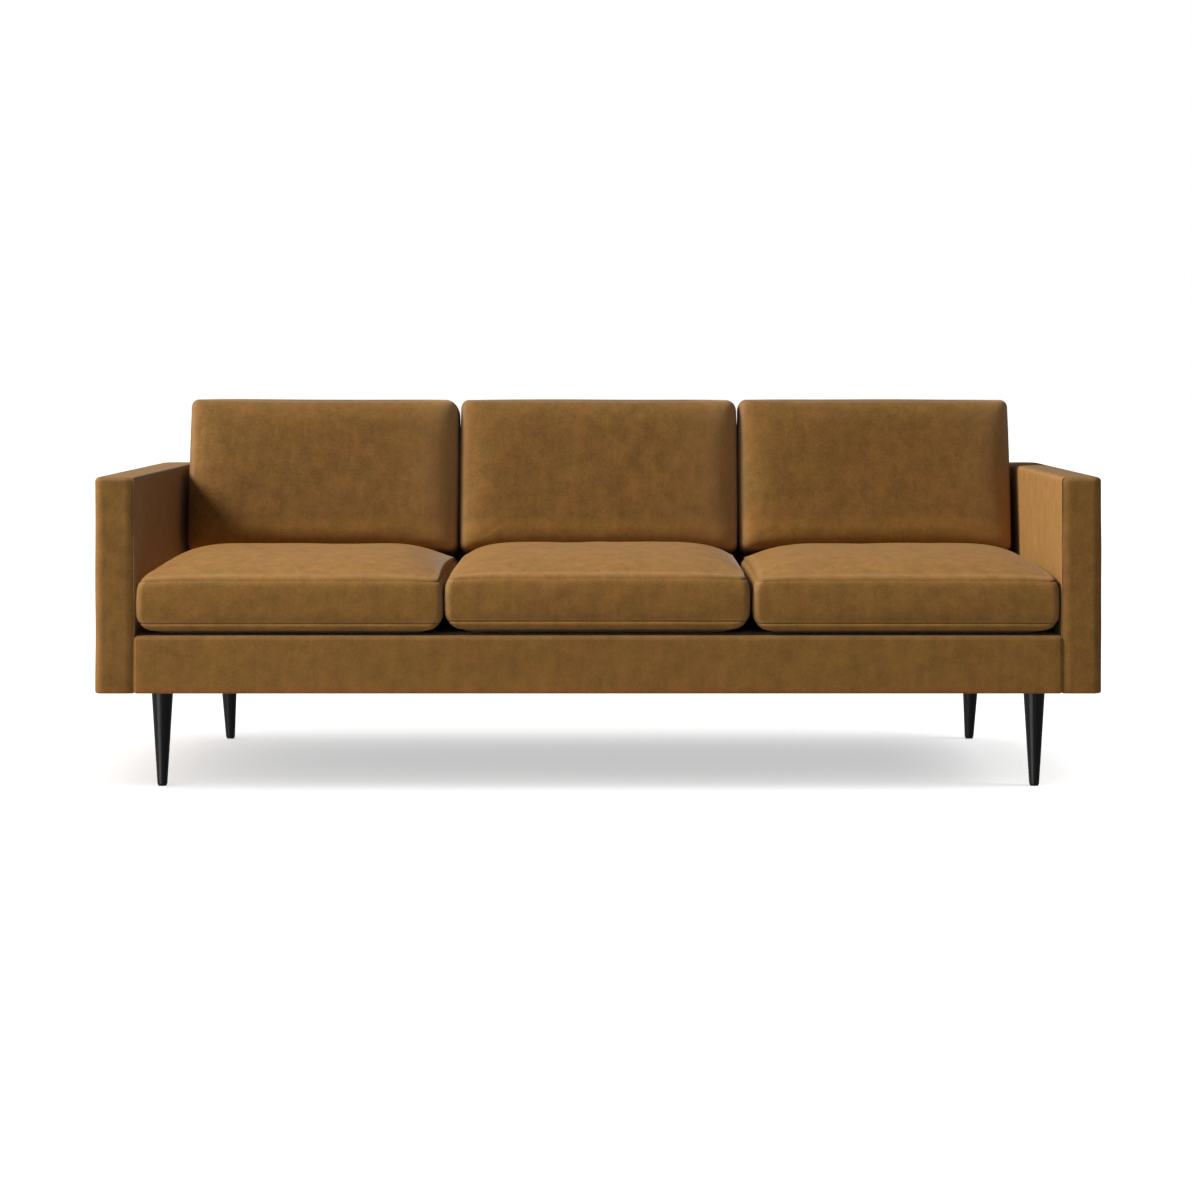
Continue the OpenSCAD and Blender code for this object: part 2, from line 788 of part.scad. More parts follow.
module back_webs() {
    low = board_top + back_rail_h;
    high = back_top_z - back_rail_h;
    step = (high - low) / web_count;
    color(felt_col) for (k = [0:web_count - 1])
        across(-fit_x, fit_x, slope_strip(low + (k + 0.5) * step - web_w / 2,
                                          low + (k + 0.5) * step + web_w / 2,
                                          web_off, web_off + web_t));
}

module back_pad() {
    low = board_top + back_rail_h / 2;
    top = arm_h - pad_off;
    behind = rear_back_y + outer_pad_t;
    far = pad_off + back_pad_t;
    color(foam_col) across(-fit_x, fit_x, concat(
        [[rake_y(low, pad_off), low]], back_edge(edge_r - pad_off),
        [[behind, top], [behind, back_top_z], [rake_y(back_top_z, far), back_top_z],
         [rake_y(low, far), low]]
    ));
}

module inside_back_cover() {
    low = deck_h - cover_t;
    color(cloth_col) across(-fit_x, fit_x, concat(
        [[rake_y(low, 0), low]], back_edge(edge_r),
        [[back_y - cover_t, arm_h], [back_y - cover_t, arm_h - cover_t]],
        reversed(back_edge(edge_r - cover_t)),
        [[rake_y(low, cover_t), low]]
    ));
}

module outside_back_pad() {
    color(foam_col)
        block([-fit_x, rear_back_y, board_z], [fit_x, rear_back_y + outer_pad_t, back_top_z]);
}

module outside_back_cover() {
    color(cloth_col) across(-fit_x, fit_x, [
        [rear_front_y + board_t / 2, leg_h], [back_y, leg_h], [back_y, arm_h],
        [back_y - cover_t, arm_h], [back_y - cover_t, board_z], [rear_front_y + board_t / 2, board_z]
    ]);
}

// Loose cushions: the cover with its soft wrap, hollow for the foam block
seat_core_low = seat_low + core_low_share * seat_seam_h;
seat_core_high = seat_top_seam - core_top_set;

module seat_core_box(grow) {
    block([-seat_hw + seat_wrap - grow, -seat_hd + seat_wrap - grow, seat_core_low - grow],
          [seat_hw - seat_wrap + grow, seat_hd - seat_wrap + grow, seat_core_high + grow]);
}

module seat_cushion(i) {
    color(cloth_col) translate([i * seat_pitch, seat_y, 0]) difference() {
        ring_skin(seat_rings(), seat_low, seat_top(0, 0));
        seat_core_box(seam_clear);
    }
}

module seat_core(i) {
    color(foam_col) translate([i * seat_pitch, seat_y, 0]) seat_core_box(0);
}

// Local frame of a back cushion: x across, y up the slope, z out of its front
module at_back(i) {
    translate([i * back_pitch + back_shift, back_foot_y, deck_h]) rotate([90 - back_rake, 0, 0])
        translate([0, back_start + back_h / 2, soft_clear]) children();
}

module back_core_box(grow) {
    hw = back_w / 2 - back_wrap;
    hh = back_h / 2 - back_wrap;
    block([-hw - grow, -hh - grow, back_core_low - grow],
          [hw + grow, hh + grow, back_t - back_crown - back_core_set + grow]);
}

module back_cushion(i) {
    color(cloth_col) at_back(i) difference() {
        ring_skin(back_rings(), back_rear(0), back_front(0));
        back_core_box(seam_clear);
    }
}

module back_core(i) {
    color(foam_col) at_back(i) back_core_box(0);
}

front_rail();
rear_rail();
spring_rail();
side_rail(-1);  // side_rail_left
side_rail(1);  // side_rail_right
stretchers();
leg_blocks();
leg_plates();
plate_screws();
hanger_bolts();
leg(0);  // leg_front_left
leg(1);  // leg_front_right
leg(2);  // leg_rear_left
leg(3);  // leg_rear_right
leg_glides();
seat_springs();
spring_clips();
tie_wires();
deck_felt();
deck_pad();
deck_cover();
front_rail_pad();
front_rail_cover();
dust_cover();
arm_front_post(-1);  // arm_front_post_left
arm_front_post(1);  // arm_front_post_right
arm_rear_post(-1);  // arm_rear_post_left
arm_rear_post(1);  // arm_rear_post_right
arm_top_rail(-1);  // arm_top_rail_left
arm_top_rail(1);  // arm_top_rail_right
arm_bottom_rail(-1);  // arm_bottom_rail_left
arm_bottom_rail(1);  // arm_bottom_rail_right
arm_pad(-1);  // arm_pad_left
arm_pad(1);  // arm_pad_right
arm_cover(-1);  // arm_cover_left
arm_cover(1);  // arm_cover_right
arm_bolts();
arm_washers();
arm_nuts();
back_bottom_rail();
back_posts();
back_top_rail();
back_webs();
back_pad();
inside_back_cover();
outside_back_pad();
outside_back_cover();
seat_cushion(-1);  // seat_cushion_left
seat_cushion(0);  // seat_cushion_centre
seat_cushion(1);  // seat_cushion_right
seat_core(-1);  // seat_core_left
seat_core(0);  // seat_core_centre
seat_core(1);  // seat_core_right
back_cushion(-1);  // back_cushion_left
back_cushion(0);  // back_cushion_centre
back_cushion(1);  // back_cushion_right
back_core(-1);  // back_core_left
back_core(0);  // back_core_centre
back_core(1);  // back_core_right
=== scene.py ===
# %% [markdown]
# This file dresses a three-seat sofa. Its boards, springs, foam blocks and covers are already there as plain
# solids of real size. Each step below puts one visible part in the place of some of them and gives it the
# look of the real thing: mustard velvet over soft foam, and four dark turned legs. Lengths are in metres.

# %% Load the frame and keep its outer box
import json
import math

import bmesh
import bpy
import numpy as np
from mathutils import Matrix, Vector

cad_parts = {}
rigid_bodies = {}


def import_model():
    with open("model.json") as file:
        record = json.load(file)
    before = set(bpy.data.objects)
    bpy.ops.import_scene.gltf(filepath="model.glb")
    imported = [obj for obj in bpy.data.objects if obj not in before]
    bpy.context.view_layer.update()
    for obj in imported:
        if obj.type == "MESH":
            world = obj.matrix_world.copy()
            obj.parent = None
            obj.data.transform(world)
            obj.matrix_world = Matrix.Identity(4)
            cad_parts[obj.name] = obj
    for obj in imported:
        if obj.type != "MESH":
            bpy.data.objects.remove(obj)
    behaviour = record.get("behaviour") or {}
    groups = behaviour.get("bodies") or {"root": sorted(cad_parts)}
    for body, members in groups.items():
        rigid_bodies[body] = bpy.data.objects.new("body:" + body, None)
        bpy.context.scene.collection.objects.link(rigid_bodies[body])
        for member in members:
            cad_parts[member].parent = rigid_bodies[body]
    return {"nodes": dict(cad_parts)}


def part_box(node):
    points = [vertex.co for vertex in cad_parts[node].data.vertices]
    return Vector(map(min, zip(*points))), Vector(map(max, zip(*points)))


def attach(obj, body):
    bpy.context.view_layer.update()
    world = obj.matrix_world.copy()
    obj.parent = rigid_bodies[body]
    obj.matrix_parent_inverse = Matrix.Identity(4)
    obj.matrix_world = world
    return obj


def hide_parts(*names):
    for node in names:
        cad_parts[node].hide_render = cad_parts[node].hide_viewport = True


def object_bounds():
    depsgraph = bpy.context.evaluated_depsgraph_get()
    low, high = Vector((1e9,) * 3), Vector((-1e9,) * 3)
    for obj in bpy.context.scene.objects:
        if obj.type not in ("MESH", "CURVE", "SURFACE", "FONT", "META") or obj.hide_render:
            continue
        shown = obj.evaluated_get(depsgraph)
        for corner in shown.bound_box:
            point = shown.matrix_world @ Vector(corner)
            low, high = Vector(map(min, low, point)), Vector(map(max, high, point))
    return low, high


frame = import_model()
cad_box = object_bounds()
print("frame box", [[round(value, 4) for value in corner] for corner in cad_box])

# %% [markdown]
# The photograph is square, and its verticals stay parallel. So the camera is level, and the picture was
# cut out of a wider one: that is a lens shift. The horizon row, the middle column and the scale on the
# plane of the arm fronts give the camera, and nothing else has to be guessed.

# %% Camera at the photograph's place
PHOTO_PIXELS = 1192
HORIZON_ROW = 364
MIDDLE_COLUMN = 598.1
FRONT_PIXELS_PER_METRE = 462
CAMERA_DISTANCE = 5.9
CAMERA_HEIGHT = 0.923
CAMERA_ASIDE = 0.03
SENSOR = 36

front_y = cad_box[0][1]
camera_data = bpy.data.cameras.new("camera")
camera_data.sensor_width = SENSOR
camera_data.lens = FRONT_PIXELS_PER_METRE * CAMERA_DISTANCE / PHOTO_PIXELS * SENSOR
camera_column = MIDDLE_COLUMN + FRONT_PIXELS_PER_METRE * CAMERA_ASIDE
camera_data.shift_x = (PHOTO_PIXELS / 2 - camera_column) / PHOTO_PIXELS
camera_data.shift_y = (HORIZON_ROW - PHOTO_PIXELS / 2) / PHOTO_PIXELS
camera = bpy.data.objects.new("camera", camera_data)
camera.location = (CAMERA_ASIDE, front_y - CAMERA_DISTANCE, CAMERA_HEIGHT)
camera.rotation_euler = (math.pi / 2, 0, 0)
scene = bpy.context.scene
scene.collection.objects.link(camera)
scene.camera = camera
scene.view_settings.view_transform = "Standard"
print("lens %.1f mm, shift %.4f %.4f" % (camera_data.lens, camera_data.shift_x, camera_data.shift_y))

# %% [markdown]
# The sofa stands in a white studio with a dim sky. The floor is a matt sheet that throws light up at the
# sofa. A second sheet in the same place is what the camera sees: it has some white added, so it is white in
# the open and keeps the one soft pale shadow that the sofa has in the photograph. The lamps are the last
# step, because each says which pieces it lights.

# %% Small helpers for shader nodes
def add_node(tree, kind, inputs=None, **settings):
    """Adds a shader node with its settings and gives its outputs. An input is linked where its value is a
    socket, and set otherwise."""
    node = tree.nodes.new("ShaderNode" + kind)
    for key, value in settings.items():
        setattr(node, key, value)
    for key, value in (inputs or {}).items():
        if isinstance(value, bpy.types.NodeSocket):
            tree.links.new(value, node.inputs[key])
        else:
            node.inputs[key].default_value = value
    return node.outputs


def math_node(tree, operation, *values, clamp=False):
    """Result of a Math node whose values are sockets or plain numbers."""
    return add_node(tree, "Math", dict(enumerate(values)), operation=operation, use_clamp=clamp)[0]


def new_material(name):
    """Material, its node tree, which is empty, and its Object coordinates."""
    material = bpy.data.materials.new(name)
    material.use_nodes = True
    material.node_tree.nodes.clear()
    return material, material.node_tree, add_node(material.node_tree, "TexCoord")["Object"]


# %% Sky that is a little brighter towards the left
SKY_TOWARDS = (-1.0, 0.0, 0.2)
SKY_LEVEL = 0.26
SKY_SLOPE = 0.12
SKY_COLOR = (1, 1, 1, 1)

world = bpy.data.worlds.new("studio")
scene.world = world
world.use_nodes = True
sky = world.node_tree
sky.nodes.clear()
direction = add_node(sky, "TexCoord")["Generated"]
slope = add_node(sky, "VectorMath", {0: direction, 1: SKY_TOWARDS}, operation="DOT_PRODUCT")
level = math_node(sky, "MULTIPLY_ADD", slope["Value"], SKY_SLOPE, SKY_LEVEL, clamp=True)
# Rays that see the sky directly, and don't light the sofa, find it white
path = add_node(sky, "LightPath")
seen = math_node(sky, "MAXIMUM", path["Is Camera Ray"], path["Is Transmission Ray"])
level = math_node(sky, "MAXIMUM", level, seen)
background = add_node(sky, "Background", {"Color": SKY_COLOR, "Strength": level})
add_node(sky, "OutputWorld", {"Surface": background[0]})

# %% The floor that lights the sofa, and the floor that the camera sees
FLOOR_HALF = 30
BOUNCE_GREY = 0.50
FLOOR_WHITE = 0.475
FLOOR_GAIN = 2.6


def floor_sheet(name, z, grey, white, unseen):
    """Square matt sheet round the sofa, with some white added. Rays of the unseen kinds pass it by."""
    mesh = bpy.data.meshes.new(name)
    corners = [(FLOOR_HALF * x, FLOOR_HALF * y, z) for x, y in ((-1, -1), (1, -1), (1, 1), (-1, 1))]
    mesh.from_pydata(corners, [], [(0, 1, 2, 3)])
    sheet = bpy.data.objects.new(name, mesh)
    scene.collection.objects.link(sheet)
    material, tree, _ = new_material(name)
    matt = add_node(tree, "BsdfDiffuse", {"Color": (grey, grey, grey, 1)})
    glow = add_node(tree, "Emission", {"Strength": white})
    both = add_node(tree, "AddShader", {0: matt[0], 1: glow[0]})
    add_node(tree, "OutputMaterial", {"Surface": both[0]})
    mesh.materials.append(material)
    for ray in unseen:
        setattr(sheet, "visible_" + ray, False)
    return sheet


floor_sheet("bounce_floor", -0.001, BOUNCE_GREY, 0, ("camera", "glossy", "transmission"))
seen_floor = floor_sheet("seen_floor", 0, FLOOR_GAIN, FLOOR_WHITE, ("diffuse", "glossy", "shadow"))

# %% [markdown]
# Every surface of the sofa is a grid: a function of two parameters gives a point for each row and
# column, as one array. The columns run round the piece and the rows run over it. One helper turns such a
# grid into a closed mesh, so each piece below is only its formula.

# %% Grid to mesh
def grid_faces(number):
    """Faces between the rows of a grid of point numbers, whose last column joins its first."""
    beside = np.roll(number, -1, 1)
    return np.stack([number[:-1], beside[:-1], beside[1:], number[1:]], -1).reshape(-1, 4).tolist()


def grid_mesh(name, points, attributes=None):
    """Skin over a grid of points[row, column]. Rows that shrink to a point or a line are welded, and float
    attributes are given per point of the grid."""
    rows, columns = points.shape[:2]
    faces = grid_faces(np.arange(rows * columns).reshape(rows, columns))
    mesh = bpy.data.meshes.new(name)
    mesh.from_pydata(points.reshape(-1, 3).tolist(), [], faces)
    for key, values in (attributes or {}).items():
        layer = mesh.attributes.new(key, "FLOAT", "POINT")
        layer.data.foreach_set("value", np.broadcast_to(values, (rows, columns)).astype(np.float32).ravel())
    weld = bmesh.new()
    weld.from_mesh(mesh)
    bmesh.ops.remove_doubles(weld, verts=weld.verts, dist=1e-6)
    bmesh.ops.recalc_face_normals(weld, faces=weld.faces)
    weld.to_mesh(mesh)
    weld.free()
    mesh.shade_smooth()
    return mesh


def piece(name, surface, material, body, slot, *replaced):
    """Finished object at the origin, from the points of its grid and perhaps their attributes. It rides on a
    body and stands for solids of the frame."""
    mesh = grid_mesh(name, *surface)
    thing = bpy.data.objects.new(name, mesh)
    thing.data.materials.append(material)
    scene.collection.objects.link(thing)
    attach(thing, body)
    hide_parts(*replaced)
    print(name, len(mesh.polygons), "faces")
    return thing


# %% Rounded outlines, and a smooth random field
CORNER_SIGNS = np.array(((1, 1), (-1, 1), (-1, -1), (1, -1)))


def outline(half_x, half_y, radii, pulls, corner_steps, x_steps, y_steps):
    """Rounded rectangle, anticlockwise from its right end: an arc at each corner, then a side that is drawn
    in by a half sine wave. radii and pulls are in that order: top right corner, top side, top left corner,
    left side, and so on. Gives the points, their outward directions and the distance to the next corner."""
    radii = np.array(radii)[:, None]
    centres = CORNER_SIGNS * ((half_x, half_y) - radii)
    points, outward = [], []
    for quarter, steps in enumerate((x_steps, y_steps) * 2):
        turn = (quarter + np.arange(corner_steps + 1) / corner_steps) * math.pi / 2
        facing = np.stack([np.cos(turn), np.sin(turn)], 1)
        first, last = (centres + radii * facing[-1])[[quarter, (quarter + 1) % 4]]
        share = (np.arange(steps) / steps)[:, None]
        side = first + share * (last - first) - pulls[quarter] * np.sin(math.pi * share) * facing[-1]
        points += [centres[quarter] + radii[quarter] * facing[:-1], side]
        outward += [facing[:-1], np.broadcast_to(facing[-1], side.shape)]
    points = np.concatenate(points)
    tips = CORNER_SIGNS * ((half_x, half_y) - radii * (1 - math.sqrt(0.5)))
    to_corner = np.linalg.norm(points[:, None] - tips[None], axis=2).min(1)
    return points, np.concatenate(outward), to_corner


def field(points, wavelength, seed, waves=14):
    """Smooth random values, about -1 to 1, at an array of points: the mean of plane waves whose directions
    and phases are drawn from a seeded generator."""
    draw = np.random.default_rng(seed)
    heading = draw.normal(size=(waves, 3))
    heading *= (2 * math.pi / wavelength) / np.linalg.norm(heading, axis=1, keepdims=True)
    heading *= draw.uniform(0.6, 1.5, size=(waves, 1))
    phase = draw.uniform(0, 2 * math.pi, waves)
    return np.sin(points @ heading.T + phase).sum(-1) / math.sqrt(waves)


def bump(x, middle, width):
    """1 at the middle and close to 0 beyond the width, as a bell curve."""
    return np.exp(-((x - middle) / width) ** 2)


# %% [markdown]
# Velvet has no visible weave. What the eye reads is its pile: short upright fibres that lean a little
# one way or the other, so the cloth shows soft patches, faint upright brush marks and a paler bloom
# where it is seen at a flat angle. The patches, brush marks and fine grain are one node group, and the
# bloom is the shader's own sheen. Meshes carry four marks of their own: where a seam is, with painted
# shade at the ends of a strip, a painted highlight along rims and round edges, painted light and shade
# that make a panel or a part of one lighter or darker, and a painted reddish bounce light along bottom
# edges. The node group paints these into the colour too.

# %% Helpers for values and colours
def noise(tree, vector, scale, detail, roughness, stretch=None):
    """Noise values at a vector, which may first be scaled along each axis."""
    if stretch is not None:
        vector = add_node(tree, "Mapping", {"Vector": vector, "Scale": stretch})[0]
    inputs = {"Vector": vector, "Scale": scale, "Detail": detail, "Roughness": roughness}
    return add_node(tree, "TexNoise", inputs)["Fac"]


def ramp(tree, value, low, high, start=0.0, stop=1.0):
    """Value mapped from low..high to start..stop and held there."""
    inputs = {"Value": value, "From Min": low, "From Max": high, "To Min": start, "To Max": stop}
    return add_node(tree, "MapRange", inputs)[0]


def weighted_sum(tree, total, *terms):
    """A number plus some values, each times its weight."""
    for value, weight in terms:
        total = math_node(tree, "MULTIPLY_ADD", value, weight, total)
    return total


def mix_color(tree, factor, first, second, blend="MIX"):
    """Mix of two colours, each a socket or four numbers."""
    return add_node(tree, "Mix", {0: factor, 6: first, 7: second}, data_type="RGBA", blend_type=blend)[2]


def shaded(tree, color, shade):
    """A colour times a shade."""
    grey = add_node(tree, "CombineColor", {0: shade, 1: shade, 2: shade})
    return mix_color(tree, 1.0, color, grey[0], "MULTIPLY")


def put_out(tree, color, rough, height, depth, strength=1.0, plain=None):
    """Surface of a material: a shader with a colour, a roughness and a relief of some depth from the height.
    plain are numbers for the shader's own sockets."""
    relief = add_node(tree, "Bump", {"Height": height, "Distance": depth, "Strength": strength})
    inputs = {"Base Color": color, "Roughness": rough, "Normal": relief[0], **(plain or {})}
    shader = add_node(tree, "BsdfPrincipled", inputs)
    add_node(tree, "OutputMaterial", {"Surface": shader[0]})


# %% Node group with the marks of a pile cloth, and with painted light, shade, highlight and bounce light
PAINTED_LIGHT_STRENGTH = 0.15
SEAM_SHADE = 0.62
PAINTED_BOUNCE_TINT = (1.18, 0.90, 0.90, 1)
PAINTED_HIGHLIGHT_COLOR = (0.42, 0.30, 0.19, 1)

PILE_SOCKETS = {
    "INPUT": {"Vector": "Vector", "Patch Size": "Float", "Seam": "Float", "Edge": "Float", "Nap": "Float",
              "Fold": "Float", "Green": "Color", "Red": "Color"},
    "OUTPUT": {"Color": "Color", "Roughness": "Float", "Height": "Float"},
}
pile = bpy.data.node_groups.new("pile_marks_and_painted_light", "ShaderNodeTree")
for in_out, sockets in PILE_SOCKETS.items():
    for key, kind in sockets.items():
        pile.interface.new_socket(key, in_out=in_out, socket_type="NodeSocket" + kind)
given = pile.nodes.new("NodeGroupInput").outputs
result = pile.nodes.new("NodeGroupOutput").inputs
spot = given["Vector"]
patch_scale = math_node(pile, "DIVIDE", 1.0, given["Patch Size"])
patches = ramp(pile, noise(pile, spot, patch_scale, 4, 0.62), 0.36, 0.64)
brushed = ramp(pile, noise(pile, spot, 60, 3, 0.6, (1, 1, 0.14)), 0.3, 0.7, -1, 1)
dabs = ramp(pile, noise(pile, spot, 28, 5, 0.72), 0.34, 0.66, -1, 1)
grain = ramp(pile, noise(pile, spot, 230, 4, 0.7), 0.3, 0.7, -1, 1)
# The painted light mark makes a panel or a part of one lighter or darker: painted light and shade
shade = weighted_sum(pile, 1.0, (brushed, 0.06), (dabs, 0.135), (grain, 0.145), (given["Nap"], PAINTED_LIGHT_STRENGTH))
shade = math_node(pile, "MULTIPLY", shade, ramp(pile, given["Seam"], 0, 1, 1.0, SEAM_SHADE))
tone = shaded(pile, mix_color(pile, patches, given["Green"], given["Red"]), shade)
# Painted reddish bounce light from the floor, where the bounce mark is set
tone = mix_color(pile, given["Fold"], tone, mix_color(pile, 1.0, tone, PAINTED_BOUNCE_TINT, "MULTIPLY"))
# The edge mark mixes in a pale tone: a painted highlight along rims and round edges
painted_highlight = math_node(pile, "MULTIPLY", given["Edge"], 0.6, clamp=True)
tone = mix_color(pile, painted_highlight, tone, mix_color(pile, 0.5, tone, PAINTED_HIGHLIGHT_COLOR))
pile.links.new(tone, result["Color"])
pile.links.new(weighted_sum(pile, 0.82, (patches, 0.06)), result["Roughness"])
pile.links.new(weighted_sum(pile, 0.0, (grain, 0.4), (dabs, 0.6)), result["Height"])
print("pile group has", len(pile.nodes), "nodes")

# %% Velvet, between a greener and a redder tone
VELVET_GREEN = (0.206, 0.1015, 0.0182, 1)
VELVET_RED = (0.218, 0.098, 0.0212, 1)
VELVET_PATCH = 0.07
VELVET_DEPTH = 0.0004
VELVET_SHEEN = {"Sheen Weight": 0.13, "Sheen Roughness": 0.45, "Sheen Tint": (1.0, 0.84, 0.70, 1)}

velvet, tree, place = new_material("mustard_velvet")
inputs = {"Vector": place, "Patch Size": VELVET_PATCH, "Green": VELVET_GREEN, "Red": VELVET_RED}
# A mark is 0 on a mesh that lacks it
for mark in ("seam", "edge", "nap", "fold"):
    inputs[mark.title()] = add_node(tree, "Attribute", attribute_name=mark)["Fac"]
marks = add_node(tree, "Group", inputs, node_tree=pile)
put_out(tree, marks["Color"], marks["Roughness"], marks["Height"], VELVET_DEPTH, 0.5,
        {"Specular IOR Level": 0.20, **VELVET_SHEEN})
print("velvet made")

# %% [markdown]
# Each loose cushion is swollen by Blender's cloth solver. A coarse copy of its cover is held at its seams
# and at the parts that lie on something, and blown up by an inner pressure with gravity off. How far each
# point of the copy moves, with a cap, is then carried over to the fine grid. The copy is removed.

# %% Swelling of a cover that is held at its seams
SWELL_FRAMES = 20
SWELL_PRESSURE = 4.0
SWELL_QUALITY = 6
SWELL_SMOOTHING = 40
SWELL_CORNER = 0.09


def coarse_cover(name, grid, held):
    """Closed mesh of a coarse grid whose first and last rows are points, with a vertex group of the weights
    by which each of its rows is held."""
    rows, columns = grid.shape[:2]
    number = np.arange(1 - columns, (rows - 1) * columns + 1).reshape(rows, columns)
    number[0], number[-1] = 0, (rows - 2) * columns + 1
    points = np.concatenate([grid[0, :1], grid[1:-1].reshape(-1, 3), grid[-1, :1]])
    mesh = bpy.data.meshes.new(name)
    mesh.from_pydata(points.tolist(), [], [list(dict.fromkeys(face)) for face in grid_faces(number)])
    cover = bpy.data.objects.new(name, mesh)
    scene.collection.objects.link(cover)
    group = cover.vertex_groups.new(name="held")
    for row, weight in zip(number, held.tolist()):
        group.add(np.unique(row).tolist(), weight, "REPLACE")
    return cover, number


def spread(kept, total, period=None):
    """Matrix that interpolates evenly from kept places of a row of values to all of them. With a period the
    row is closed."""
    return np.stack([np.interp(np.arange(total), kept, one, period=period) for one in np.eye(len(kept))], 1)


def swelling(name, points, held, corner, row_step, column_step, cap):
    """Movement of each point of a grid when its cover swells."""
    firm = np.flatnonzero(held > 0.99)
    kept_rows = np.unique(np.concatenate([np.arange(0, len(points), row_step), firm[-2:], [len(points) - 1]]))
    kept_columns = np.arange(0, points.shape[1], column_step)
    coarse = points[kept_rows][:, kept_columns]
    cover, number = coarse_cover(name, coarse, held[kept_rows])
    cloth = cover.modifiers.new("swell", "CLOTH")
    cloth.settings.quality = SWELL_QUALITY
    cloth.settings.use_pressure = True
    cloth.settings.uniform_pressure_force = SWELL_PRESSURE
    cloth.settings.vertex_group_mass = "held"
    cloth.settings.effector_weights.gravity = 0
    cloth.point_cache.frame_start, cloth.point_cache.frame_end = 1, SWELL_FRAMES
    for frame_number in range(1, SWELL_FRAMES + 1):
        scene.frame_set(frame_number)
    swollen = cover.evaluated_get(bpy.context.evaluated_depsgraph_get()).data
    move = np.array([corner.co[:] for corner in swollen.vertices])[number] - coarse
    bpy.data.objects.remove(cover)
    scene.frame_set(1)
    far = np.linalg.norm(move, axis=2, keepdims=True)
    print(name, "swells by up to %.1f mm, %.1f mm on average" % (1000 * far.max(), 1000 * far.mean()))
    move *= cap * np.tanh(far / cap) / np.maximum(far, 1e-9)
    move = np.einsum("ij,jkl->ikl", spread(kept_rows, len(points)), move)
    move = np.einsum("ij,kjl->kil", spread(kept_columns, points.shape[1], points.shape[1]), move)
    for _ in range(SWELL_SMOOTHING):
        move = (np.roll(move, 1, 1) + 2 * move + np.roll(move, -1, 1)) / 4
    for _ in range(2 * row_step):
        move[1:-1] = (move[:-2] + 2 * move[1:-1] + move[2:]) / 4
    return move * (1 - held[:, None, None]) * (1 - bump(corner, 0, SWELL_CORNER))[..., None]


# %% [markdown]
# A seat cushion is a block of foam in a sewn cover: a top panel, a bottom panel and a band between them.
# The fibre wrap crowns the top panel. The band is nearly flat at the front, and round at the sides, where the
# cushions press on each other. The corners are pulled in and down by their thread, and the bottom panel
# rolls under before it lies flat on the deck. Each row of the grid is a rounded rectangle with its own
# size and height: its front and its sides are pushed in and out by their own amounts.

# %% Sizes of a seat cushion, read from the frame
SEAT_BULGE = 0.004
SEAT_PULL = 0.003
SEAT_RADIUS = 0.017
SEAT_CROWN = 0.0556
SEAT_CROWN_EDGE = 0.006
SEAT_LOW_SEAM = 0.0254
SEAT_TOP_SEAM = 0.1184
SEAT_SIDE_POWER = 6
SEAT_FRONT_POWER = 3
ROLL_DROP = 0.0170
ROLL_IN = 0.014
ROLL_OUT = 0.0014
SIDE_ROUND_LOW = 0.034
SIDE_ROUND_TOP = 0.020
SIDE_IN_TOP = 0.0050
SIDE_SWELL = -0.0002
FRONT_SWELL = 0.002
TOP_FALL = 0.0015
TOP_FALL_REACH = 0.012
GROOVE = 0.0010

seat_low, seat_high = np.array(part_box("seat_cushion_centre"))
seat_half = (seat_high - seat_low)[:2] / 2 - SEAT_BULGE
print("seat half size %.3f x %.3f, sole at %.4f" % (*seat_half, seat_low[2]))

# %% Helpers for the rows of a section
def near_seam(reach, count=9):
    """Distances from a seam, close together near it: the square of even steps, up to the reach."""
    return reach * (np.arange(1, count + 1) / count) ** 2


def band_rows(width, reach, near_count, start, count):
    """Distances across a band, close together near both of its seams."""
    near = near_seam(reach, near_count)
    return np.sort(np.concatenate([near, np.linspace(start, width - start, count), width - near]))


def round_in(depth, radius):
    """How far a quarter circle of a radius falls back at a depth below its start: 0 at the radius or more."""
    left = np.clip(1 - depth / radius, 0, 1)
    return radius * (1 - np.sqrt(1 - left ** 2))


def section_rows(*parts):
    """Columns of a section from its parts. Each part has a value or an array for every column."""
    return np.concatenate([np.broadcast_arrays(*map(np.atleast_1d, part)) for part in parts], 1)


